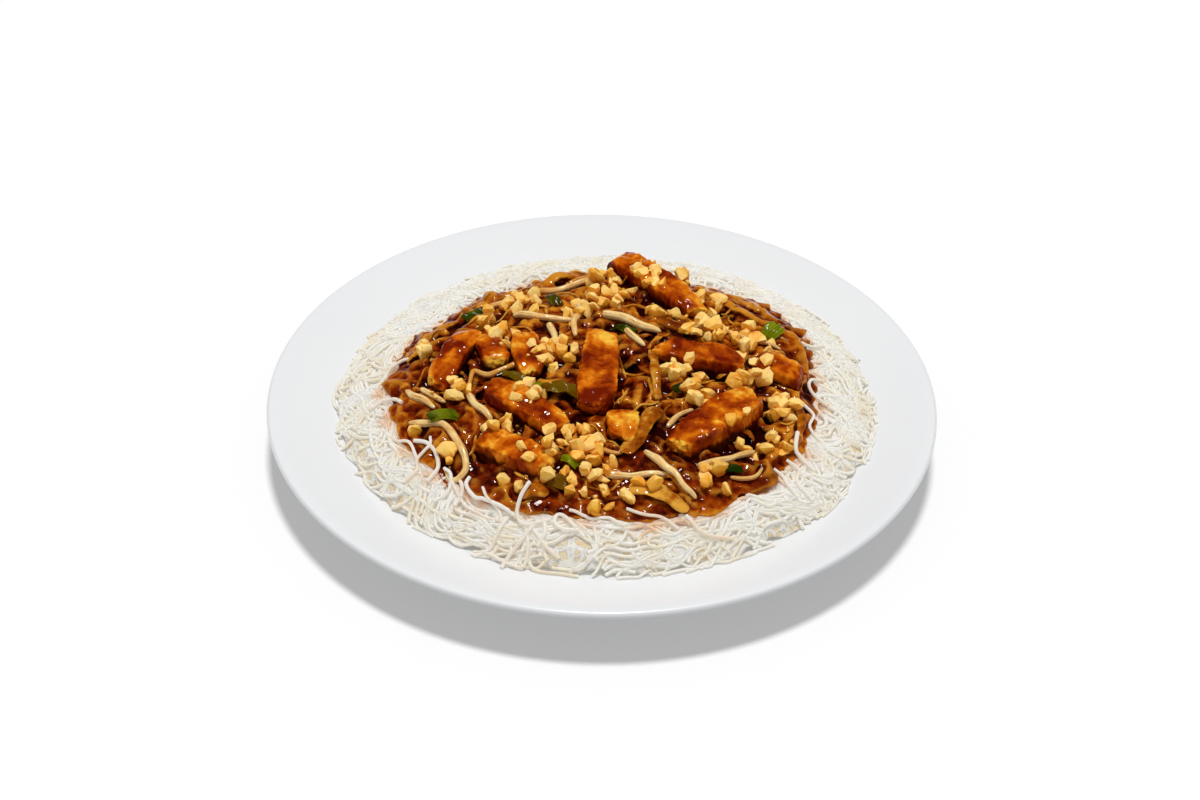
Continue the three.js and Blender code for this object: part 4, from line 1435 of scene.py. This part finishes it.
class DISH_OT_spring_onion(bpy.types.Operator):
    """Make the pieces of spring onion"""

    bl_idname = "dish.spring_onion"
    bl_label = "Spring onion"

    def execute(self, context):
        points, faces, numbers = [], [], {"across": [], "dark": [], "sauce": []}
        for seed, (middle, reach, width, turn, pitch, arch, dark, sauce) in enumerate(SPRING_ONION):
            some, some_faces, across = leaf(middle, reach, width, turn, pitch, arch, 10 * seed)
            faces += [tuple(corner + len(points) for corner in face) for face in some_faces]
            points.extend(some)
            for values, value in zip(numbers.values(), (across, dark, sauce)):
                values.append(np.broadcast_to(value, len(some)))
        carried = {name: np.concatenate(values) for name, values in numbers.items()}
        sheet = new_mesh("leaves", points, faces=faces, **carried)
        solid = sheet.modifiers.new("Thickness", "SOLIDIFY")
        solid.thickness = LEAF_THICKNESS * MM
        solid.offset = 0
        rounded = sheet.modifiers.new("Rounding", "BEVEL")
        rounded.width = 0.25 * MM
        rounded.segments = 2
        rounded.angle_limit = math.radians(50)
        piece = new_object("spring_onion_leaves", evaluated_mesh(sheet))
        bpy.data.objects.remove(sheet)
        material = leaf_finish(context.scene.dish.spring_onion)
        dress(piece, material, "spring_onion", *nodes_of("spring_onion", SPRING_ONION))
        return {"FINISHED"}


# ------------------------------------------------------------------ stir-fry

FLOOR = BED_LEVEL - 1.5  # where the sauced heap is cut off, inside the noodles
BAND = (4.6, 1.8)  # width and thickness of a plain shred
MAP_REACH = 106  # half the side of the square in which hollows are looked for
MAP_CELL = 1.6  # side of a cell of that square
MAP_BLUR = 9  # cells that one pass averages


def heap_core(rng, lumps):
    """The stir-fry without its shreds: a low dome with an uneven edge, lumps and dark hollows."""
    angles = rng.uniform(0, TAU, lumps)
    near_edge = np.sqrt(rng.uniform(0.1, 0.98, lumps))
    radii = around(HEAP_RADII, angles) * near_edge
    bumps = np.stack([radii * np.cos(angles), radii * np.sin(angles), rng.uniform(1.6, 3.4, lumps)], 1)

    def level(x, y):
        flat = np.stack([x, y], 1)
        rough = 1.1 * unevenness(flat, 7, 1) + 0.5 * unevenness(flat, 3, 2)
        swell = np.zeros(len(x))
        for bx, by, size in bumps:
            swell = np.maximum(swell, size**2 - (x - bx) ** 2 - (y - by) ** 2)
        smooth = 0.4 * smoothstep(-58, -72, y)
        height = heap_top(x, y) + (rough + 0.9 * np.sqrt(swell)) * (1 - smooth)
        for hx, hy, radius, depth in HOLLOWS:
            height -= depth * np.exp(-(((x - hx) ** 2 + (y - hy) ** 2) / radius**2) * 1.4)
        return height

    def ring(share):
        def at(angle):
            along = on_circle(angle, 90)
            lobes = 1.2 * unevenness(along, 11, 6) + 0.9 * unevenness(along, 3.5, 7)
            edge = around(HEAP_RADII, angle)
            lobes = lobes + around(SAUCE_RADII, angle) - edge
            radius = share * (edge + lobes)
            inside = min(share, 0.985) * edge
            x, y = inside * np.cos(angle), inside * np.sin(angle)
            fade = smoothstep(1.0, 0.9, share)
            bare = heap_top(x, y)
            least = BED_LEVEL + 1.2 - 2.4 * smoothstep(0.95, 1, share)
            return radius, np.maximum(bare + (level(x, y) - bare) * fade, least)
        return at

    shares = [*np.linspace(0.02, 0.9, 76), *np.linspace(0.912, 1, 12)]
    rings = [(0, heap_top(0.0, 0.0)), *(ring(share) for share in shares)]
    rings += [lambda angle: (around(HEAP_RADII, angle) - 2, FLOOR - 1), (0, FLOOR - 1)]
    return ring_mesh("heap_core", rings, 420)


def shred_lines(rng, count):
    """Lines of the shreds: those of the table and many more that lie at random."""
    lines = []
    for points, width, thickness, onion in SHREDS:
        line = smooth_path(on_dish(points), 1.5)
        line[:, 2] += 0.3 * unevenness(line, 5, len(lines))
        share = np.linspace(-1, 1, len(line))
        girth = width / BAND[0] * (1 - 0.4 * np.abs(share) ** 4)
        lines.append((line, {"girth": girth, "onion": onion, "tone": rng.uniform(0.3, 1)}))
    for _ in range(count):
        angle = rng.uniform(0, TAU)
        radius = around(HEAP_RADII, angle) * math.sqrt(rng.uniform(0.0, 0.93))
        if radius * math.sin(angle) < -60 and rng.uniform() < 0.8:
            continue
        heading = rng.uniform(0, TAU)
        curl = rng.normal(0, 0.05)
        reach = rng.uniform(12, 34)
        travel = np.arange(-reach / 2, reach / 2, 1.6)
        turn = heading + curl * travel + 0.25 * np.sin(travel / rng.uniform(2.5, 6))
        x = radius * math.cos(angle) + np.cumsum(np.cos(turn)) * 1.6 - reach / 2 * math.cos(heading)
        y = radius * math.sin(angle) + np.cumsum(np.sin(turn)) * 1.6 - reach / 2 * math.sin(heading)
        edge = around(HEAP_RADII, np.arctan2(y, x)) - 6
        inward = np.minimum(1, edge / np.hypot(x, y))
        x, y = x * inward, y * inward
        share = np.linspace(-1, 1, len(x))
        rise = rng.uniform(-0.8, 1) + rng.uniform(0, 1) * (1 - share**2) - 1.6 * share**6
        line = on_dish(np.stack([x, y, rise], 1))
        girth = rng.uniform(0.5, 1.1) * (1 - 0.4 * np.abs(share) ** 4)
        onion = rng.choice((0, 0.3, 0.7, 0.9), p=(0.4, 0.25, 0.2, 0.15))
        lines.append((line, {"girth": girth, "onion": onion, "tone": rng.uniform(0, 1)}))
    return lines


def topping_supports():
    """Points under the toppings, with how low the sauce stays there and how far that reaches."""
    places = []
    for start, end, width, thickness, _ in CHICKEN:
        reach, at = strip_axes(start, end)
        line = at(np.linspace(0.02, 0.98, round(reach / 1.5)))[0]
        places += [(*point, width / 2, 0.1 * thickness) for point in line]
    for points, diameter, _ in SPROUTS:
        places += [(*point, diameter, 0.9) for point in smooth_path(on_dish(points), 1.5)]
    for points, width, thickness, _ in ONION:
        places += [(*point, width / 2, thickness * 0.4) for point in smooth_path(on_dish(points), 1.5)]
    for middle, reach, width, turn, *_ in SPRING_ONION:
        way = np.array([math.cos(math.radians(turn)), math.sin(math.radians(turn)), 0])
        for shift in np.linspace(-reach / 2, reach / 2, 7):
            places.append((*(on_dish([middle])[0] + way * shift), width / 2, 0.8))
    return places


def make_room(points):
    """Lowers the sauce under the toppings, so that they lie on it."""
    places = topping_supports()
    tree = KDTree(len(places))
    for index, (x, y, *_) in enumerate(places):
        tree.insert((x, y, 0), index)
    tree.balance()
    for point in points:
        _, index, distance = tree.find((point[0], point[1], 0))
        _, _, level, reach, drop_by = places[index]
        if distance < 1.6 * reach:
            limit = level - drop_by + 1.6 * max(0, distance - 0.85 * reach)
            point[2] = max(FLOOR, min(point[2], limit))


def carry_over(target, source, names, reach):
    """Copies numbers to a mesh from the nearest place of another one, or 0 past the reach."""
    tree = BVHTree.FromPolygons(
        [v.co for v in source.vertices], [p.vertices for p in source.polygons]
    )
    first = np.array([p.vertices[0] for p in source.polygons])
    found = np.full(len(target.vertices), -1)
    for i, vertex in enumerate(target.vertices):
        _, _, face, _ = tree.find_nearest(vertex.co, reach * MM)
        if face is not None:
            found[i] = first[face]
    for name in names:
        values = np.where(found >= 0, read_attribute(source, name)[found], 0)
        put_attribute(target, name, values)


def cut_flat(mesh, level):
    """Cuts a mesh off at a level and closes it there with one face."""
    work = bmesh.new()
    work.from_mesh(mesh)
    everything = [*work.verts, *work.edges, *work.faces]
    cut = bmesh.ops.bisect_plane(
        work, geom=everything, plane_co=(0, 0, level * MM), plane_no=(0, 0, 1), clear_inner=True
    )
    rim = [edge for edge in cut["geom_cut"] if isinstance(edge, bmesh.types.BMEdge)]
    bmesh.ops.holes_fill(work, edges=rim, sides=0)
    work.normal_update()
    work.to_mesh(mesh)
    work.free()


def remeshed(piece, voxel):
    """One skin round everything in a piece, softened as a thick sauce softens it."""
    remesh = piece.modifiers.new("Coat", "REMESH")
    remesh.mode = "VOXEL"
    remesh.voxel_size = voxel
    soften = piece.modifiers.new("Soften", "SMOOTH")
    soften.factor = 0.5
    soften.iterations = 3
    thin_out = piece.modifiers.new("Thin out", "DECIMATE")
    thin_out.ratio = 0.55
    return evaluated_mesh(piece)


def mark_hollows(pieces):
    """Stores on each piece how far a place lies below (1) or above (-1) what is round it."""
    side = np.arange(-MAP_REACH, MAP_REACH + MAP_CELL, MAP_CELL)
    height = np.array([
        [drop(x, y)[0].z if math.hypot(x, y) < MAP_REACH else BED_LEVEL for y in side] for x in side
    ])
    for axis in (0, 1) * 3:
        height = np.apply_along_axis(smoothed, axis, height, MAP_BLUR)
    for piece in pieces:
        points = read_points(piece.data)
        place = (points[:, :2] + MAP_REACH) / MAP_CELL
        i, j = np.clip(np.round(place).astype(int), 0, len(side) - 1).T
        put_attribute(piece.data, "hollow", np.clip((height[i, j] - points[:, 2]) / 5, -1, 1))


def mark_creases(mesh, passes):
    """Stores how deep a place lies in a crease (1) or how far it stands out as a ridge (-1)."""
    points = read_points(mesh)
    ends = np.zeros(len(mesh.edges) * 2, np.int32)
    mesh.edges.foreach_get("vertices", ends)
    neighbours = ends.reshape(-1, 2)[:, ::-1].ravel()
    count = np.bincount(ends, minlength=len(points))
    soft = points.copy()
    for _ in range(passes):
        total = [np.bincount(ends, soft[neighbours, k], minlength=len(points)) for k in range(3)]
        soft = 0.5 * soft + 0.5 * np.stack(total, 1) / count[:, None]
    depth = ((soft - points) * read_normals(mesh)).sum(1)
    put_attribute(mesh, "crease", np.clip(depth / 0.6, -1, 1))


FRONT_BAND = (-60 * MM, -78 * MM)  # Y over which the sauce turns smooth and thick at the front
RIM_BAND = (36.5 * MM, 32.5 * MM)  # heights over which it thins and brightens towards its edge
MATT_BAND = (39 * MM, 34.5 * MM)  # heights over which its gloss fades towards its edge


def sauce_finish(settings):
    finish = Finish("Red-brown sauce")
    names = ("onion", "tone", "hollow", "crease")
    onion, tone, hollow, crease = (finish.attribute(name) for name in names)
    blotch = finish.noise(5, detail=3)
    fine = finish.noise(1.6, detail=3)
    front = finish.along("Y", finish.place).between(*FRONT_BAND)
    thick = (finish.noise(20).between(0.35, 0.65) + front).clamped()
    value = 0.52 + (1.2 - 0.2 * thick) * (blotch - 0.5) + (1.3 - 0.3 * thick) * (fine - 0.5)
    height = finish.along("Z", finish.place)
    rim = height.between(*RIM_BAND) * (0.4 - hollow).clamped()
    value = value + 0.2 * (tone - 0.5) - 0.12 * thick + 0.7 * rim
    # Painted shade: darker in hollows and creases, partly also for the sauce that pools there.
    value = value - (0.6 - 0.3 * front) * hollow - (0.42 - 0.25 * thick) * crease
    sauce = finish.ramp(
        value.clamped(),
        (0.0, settings.deep), (0.32, settings.thick), (0.66, settings.thin), (1.0, settings.amber),
    )
    bare = 2.2 * (finish.noise(3.2, detail=3) - 0.3) - 0.3 * thick
    # Less onion shows in hollows and creases: painted shade, and sauce that pools there.
    show = (onion * bare - 0.6 * hollow - 0.6 * crease).clamped()
    return finish.shade(
        Base_Color=finish.mix(show * 0.75, sauce, settings.onion),
        Roughness=0.3 + 0.2 * finish.noise(3),
        Specular_IOR_Level=0.02,
        Coat_Weight=(1.0 - 0.6 * crease.between(0.1, 1)) * (1.0 - 0.5 * hollow.between(0.1, 0.8))
        * (1.0 - 0.3 * front) * (1.0 - 0.8 * height.between(*MATT_BAND)),
        Coat_IOR=1.38,
        Coat_Roughness=0.03,
        Normal=finish.bump(
            0.7 * finish.noise(0.7) + 0.7 * finish.noise(1.6) + 0.3 * finish.noise(3), 1.35
        ),
    )


class DISH_OT_stir_fry(bpy.types.Operator):
    """Make the sauced heap of shreds that the toppings lie on"""

    bl_idname = "dish.stir_fry"
    bl_label = "Stir-fry"

    def execute(self, context):
        settings = context.scene.dish.stir_fry
        rng = np.random.default_rng(settings.seed)
        material = sauce_finish(settings)
        core = heap_core(rng, settings.lumps)
        shreds = sweep("shreds", shred_lines(rng, settings.shreds), *BAND, 8, material)
        work = bmesh.new()
        for part in (core, shreds):
            work.from_mesh(part.data)
        together = new_object("together", bpy.data.meshes.new("together"))
        work.to_mesh(together.data)
        work.free()
        mesh = remeshed(together, settings.voxel)
        points = read_points(mesh)
        make_room(points)
        write_points(mesh, points)
        roughen(mesh, 0.07, 2.6)
        cut_flat(mesh, FLOOR)
        heap = new_object("sauced_heap", mesh)
        carry_over(mesh, shreds.data, ("onion", "tone"), 1.2)
        mark_creases(mesh, 14)
        for part in (core, shreds, together):
            bpy.data.objects.remove(part)
        dress(heap, material, "sauce", "stir_fry_heap")
        chicken = [bpy.data.objects["glazed_" + node] for node in nodes_of("chicken", CHICKEN)]
        mark_hollows([heap, *chicken])
        return {"FINISHED"}


THREAD = 1.6  # width of a thin shred


def thread_lines(rng, count):
    """Lines of thin shreds that lie loose on the sauce."""
    lines = []
    while len(lines) < count:
        angle, share = rng.uniform(0, TAU), math.sqrt(rng.uniform(0, 0.86))
        radius = around(HEAP_RADII, angle) * share
        reach, curl = rng.uniform(7, 22), rng.normal(0, 0.09)
        travel = np.arange(0, reach, 0.9)
        turn = rng.uniform(0, TAU) + curl * travel + 0.4 * np.sin(travel / rng.uniform(1.5, 4))
        x = radius * math.cos(angle) + np.cumsum(np.cos(turn)) * 0.9
        y = radius * math.sin(angle) + np.cumsum(np.sin(turn)) * 0.9
        if np.any(ring_share(x, y) > -0.15):
            continue
        below = [drop(*spot) for spot in zip(x, y)]
        if any(thing != "sauced_heap" for _, thing in below[::3]):
            continue
        level = smoothed([place.z for place, _ in below], 5) + 0.35 * THREAD
        thin = 1 - 0.5 * np.abs(np.linspace(-1, 1, len(x))) ** 3
        numbers = {"girth": thin * rng.uniform(0.6, 1.3), "sauce": rng.uniform(-0.2, 0.8)}
        lines.append((np.stack([x, y, level], 1), numbers))
    return lines


class DISH_OT_threads(bpy.types.Operator):
    """Make the thin shreds that lie loose on the stir-fry"""

    bl_idname = "dish.threads"
    bl_label = "Thin shreds"

    def execute(self, context):
        settings = context.scene.dish.onion
        lines = thread_lines(np.random.default_rng(settings.seed), settings.threads)
        material = onion_finish(settings)
        piece = sweep("thin_shreds", lines, THREAD, 0.6 * THREAD, 7, material)
        dress(piece, material, "onion", "stir_fry_heap")
        return {"FINISHED"}


# ------------------------------------------------------------------ peanuts

def nut_shape(rng, work, seed):
    """A knobbly chunk of nut with a few faces where it broke."""
    bmesh.ops.create_icosphere(work, subdivisions=2, radius=0.5)
    points = np.array([vertex.co for vertex in work.verts])
    points *= 1 + 0.3 * np.clip(unevenness(points * 2, 0.9, seed), -1.2, 1.2)[:, None]
    chop(rng, points, rng.integers(6, 10), (0.5, 0.75))
    points /= np.ptp(points, axis=0).max()
    for vertex, point in zip(work.verts, points):
        vertex.co = point
    bmesh.ops.dissolve_limit(
        work, angle_limit=math.radians(7), verts=work.verts, edges=work.edges
    )
    bmesh.ops.recalc_face_normals(work, faces=work.faces)


def nut_shapes(rng, count):
    """Shapes of chopped peanut with crisp edges where they broke."""
    shelf = bpy.data.collections.new("Nut shapes")
    for index in range(count):
        work = bmesh.new()
        nut_shape(rng, work, 40 + index)
        mesh = bpy.data.meshes.new(f"nut_{index}")
        work.to_mesh(mesh)
        work.free()
        mesh.set_sharp_from_angle(angle=math.radians(20))
        shelf.objects.link(bpy.data.objects.new(mesh.name, mesh))
    return shelf


def nut_places(rng, size):
    """Places and sizes of the peanuts: in clusters, on whatever lies there."""
    centres, sizes = [], []
    for x, y, spread, pieces in PEANUT_CLUSTERS:
        for _ in range(pieces):
            for _ in range(20):
                reach, angle = 1.35 * spread * math.sqrt(rng.uniform(0, 1)), rng.uniform(0, TAU)
                spot = np.array([x + reach * math.cos(angle), y + reach * math.sin(angle)])
                clear = all(np.hypot(*(spot - other[:2])) > 0.68 * size for other in centres)
                if clear and ring_share(*spot) < -0.05:
                    break
            if ring_share(*spot) > -0.05:
                continue
            reach = size * rng.uniform(0.68, 1.18)
            place, _ = drop(*spot)
            stacked = 0 if clear else 0.3 * size
            lift = min(place.z + 0.2 * reach + stacked, CAD_BOX[1].z / MM - 0.55 * reach)
            centres.append(np.array([*spot, lift]))
            sizes.append(reach * rng.uniform((0.95, 0.7, 0.6), (1.15, 1, 0.85)))
    return np.array(centres), np.array(sizes)


def crumb_places(rng, centres, each):
    """Crumbs round the peanuts."""
    spots, sizes = [], []
    for x, y, _ in centres[::2]:
        for _ in range(each):
            spot = np.array([x, y]) + rng.normal(0, 5, 2)
            if ring_share(*spot) < 0.02:
                size = rng.uniform(1.2, 2.8)
                spots.append([*spot, drop(*spot)[0].z + 0.2 * size])
                sizes.append(size * rng.uniform(0.7, 1, 3))
    return np.array(spots), np.array(sizes)


def nut_finish(settings):
    finish = Finish("Chopped peanut")
    tone, level = finish.attribute("tone"), finish.attribute("level")
    height = finish.along("Z", finish.place)
    patch = finish.noise(3.2, detail=3)
    # Towards the bottom of each piece the colour goes to the sauced one: sauce that wets the underside,
    # and painted shade under the piece.
    low = ((level - height) * (0.5 / (2 * MM)) + 0.9 * (patch - 0.5)).between(-0.25, 0.75)
    normal = finish.node("ShaderNodeNewGeometry").outputs["Normal"]
    # Steep faces turn more golden and toasted than the top, which is painted shade; tone and patches
    # vary at random.
    steep = finish.along("Z", normal).between(0.75, 0)
    golden = (0.6 * tone + 1.2 * (patch - 0.5) + 0.6 * steep).clamped()
    body = finish.mix(golden, settings.pale, settings.gold)
    toasted_and_side_shade = (finish.noise(4, detail=2) + 0.3 * tone + 0.2 * steep).between(0.68, 0.9)
    skin = finish.mix(toasted_and_side_shade * 0.75, body, settings.toasted)
    return finish.shade(
        Base_Color=finish.mix(low, skin, settings.sauced),
        # Painted glow: a faint emission in the toasted colour.
        Emission_Color=settings.toasted,
        Emission_Strength=0.05,
        Roughness=0.4 + 0.2 * patch,
        Specular_IOR_Level=0.1,
        Normal=finish.bump(finish.noise(1.2, detail=3), 0.7),
    )


class DISH_OT_peanuts(bpy.types.Operator):
    """Scatter the chopped peanuts and their crumbs"""

    bl_idname = "dish.peanuts"
    bl_label = "Peanuts"

    def execute(self, context):
        settings = context.scene.dish.peanuts
        rng = np.random.default_rng(settings.seed)
        material = nut_finish(settings)
        shelf = nut_shapes(rng, settings.shapes)
        centres, sizes = nut_places(rng, settings.size / MM)
        crumbs, crumb_sizes = crumb_places(rng, centres, settings.crumbs)
        for name, places, scales in (
            ("chopped_peanuts", centres, sizes), ("peanut_crumbs", crumbs, crumb_sizes),
        ):
            count = len(places)
            points = new_mesh(
                "places", places,
                level=places[:, 2] * MM,
                turn=rng.uniform(0, TAU, (count, 3)),
                size=scales * MM,
                shape=rng.integers(0, settings.shapes, count),
                tone=rng.uniform(0, 1, count),
            )
            piece = grow(name, points, scatter_tree(), Shapes=shelf, Material=material)
            dress(piece, material, "peanut", "stir_fry_heap")
        for shape in list(shelf.objects):
            bpy.data.objects.remove(shape)
        bpy.data.collections.remove(shelf)
        return {"FINISHED"}


# ------------------------------------------------------------------ stage

CAMERA_TARGET = (-0.9, 4.9, 20.0)
CAMERA_DISTANCE = 1300
CAMERA_ELEVATION = 36.6
CAMERA_ROLL = 0.91
CAMERA_LENS = 86.35


def add_camera():
    camera = bpy.data.objects.new("camera", bpy.data.cameras.new("camera"))
    bpy.context.scene.collection.objects.link(camera)
    bpy.context.scene.camera = camera
    camera.data.lens = CAMERA_LENS
    camera.data.sensor_width = 36
    tilt = Matrix.Rotation(math.radians(90 - CAMERA_ELEVATION), 4, "X")
    roll = Matrix.Rotation(math.radians(CAMERA_ROLL), 4, "Z")
    away = tilt @ Vector((0, 0, CAMERA_DISTANCE * MM))
    camera.matrix_world = Matrix.Translation(Vector(CAMERA_TARGET) * MM + away) @ tilt @ roll


def add_floor(settings):
    """A pale matt floor."""
    finish = Finish("Studio floor")
    material = finish.finish(finish.node("ShaderNodeBsdfDiffuse", None, {"Color": settings.floor}))
    reach = 6000
    floor = new_mesh(
        "floor", [(-reach, -reach, 0), (reach, -reach, 0), (reach, reach, 0), (-reach, reach, 0)],
        faces=[(0, 1, 2, 3)],
    )
    floor.data.materials.append(material)
    floor.visible_diffuse = False
    floor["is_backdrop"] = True


def add_light(settings):
    """A sun almost overhead and an even fill that shows in no reflection."""
    sun = bpy.data.objects.new("sun", bpy.data.lights.new("sun", "SUN"))
    bpy.context.scene.collection.objects.link(sun)
    sun.data.energy = settings.sun
    sun.data.angle = math.radians(10)
    sun.rotation_euler = (math.radians(-2.5), math.radians(1.5), 0)
    world = bpy.data.worlds.new("Studio")
    world.use_nodes = True
    background = world.node_tree.nodes["Background"]
    background.inputs["Color"].default_value = (1, 1, 1, 1)
    background.inputs["Strength"].default_value = settings.fill
    world.cycles_visibility.glossy = False
    bpy.context.scene.world = world


class DISH_OT_stage(bpy.types.Operator):
    """Make the floor, the light and the camera"""

    bl_idname = "dish.stage"
    bl_label = "Stage"

    def execute(self, context):
        settings = context.scene.dish.stage
        add_camera()
        add_floor(settings)
        add_light(settings)
        context.scene.view_settings.view_transform = "Standard"
        return {"FINISHED"}


# ------------------------------------------------------------------ add-on

OPERATORS = (
    DISH_OT_plate,
    DISH_OT_noodles,
    DISH_OT_chicken,
    DISH_OT_sprouts,
    DISH_OT_onion,
    DISH_OT_spring_onion,
    DISH_OT_stir_fry,
    DISH_OT_threads,
    DISH_OT_curls,
    DISH_OT_peanuts,
    DISH_OT_stage,
)


class DISH_PT_panel(bpy.types.Panel):
    """Lists the steps that build the dish"""

    bl_idname = "DISH_PT_panel"
    bl_label = "Noodle Dish"
    bl_space_type = "VIEW_3D"
    bl_region_type = "UI"
    bl_category = "Noodle Dish"

    def draw(self, context):
        for operator in OPERATORS:
            self.layout.operator(operator.bl_idname)


SETTINGS = (
    PlateSettings,
    NoodleSettings,
    StirFrySettings,
    ChickenSettings,
    SproutSettings,
    OnionSettings,
    SpringOnionSettings,
    PeanutSettings,
    StageSettings,
    DishSettings,
)
CLASSES = (*SETTINGS, *OPERATORS, DISH_PT_panel)


def register():
    for cls in CLASSES:
        bpy.utils.register_class(cls)
    bpy.types.Scene.dish = bpy.props.PointerProperty(type=DishSettings)


def unregister():
    del bpy.types.Scene.dish
    for cls in reversed(CLASSES):
        bpy.utils.unregister_class(cls)


def main():
    register()
    for operator in OPERATORS:
        group, name = operator.bl_idname.split(".")
        getattr(getattr(bpy.ops, group), name)()
    boxes = {"cad": CAD_BOX, "visual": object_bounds()}
    {name: [list(corner) for corner in box] for name, box in boxes.items()}


if __name__ == "__main__":
    main()
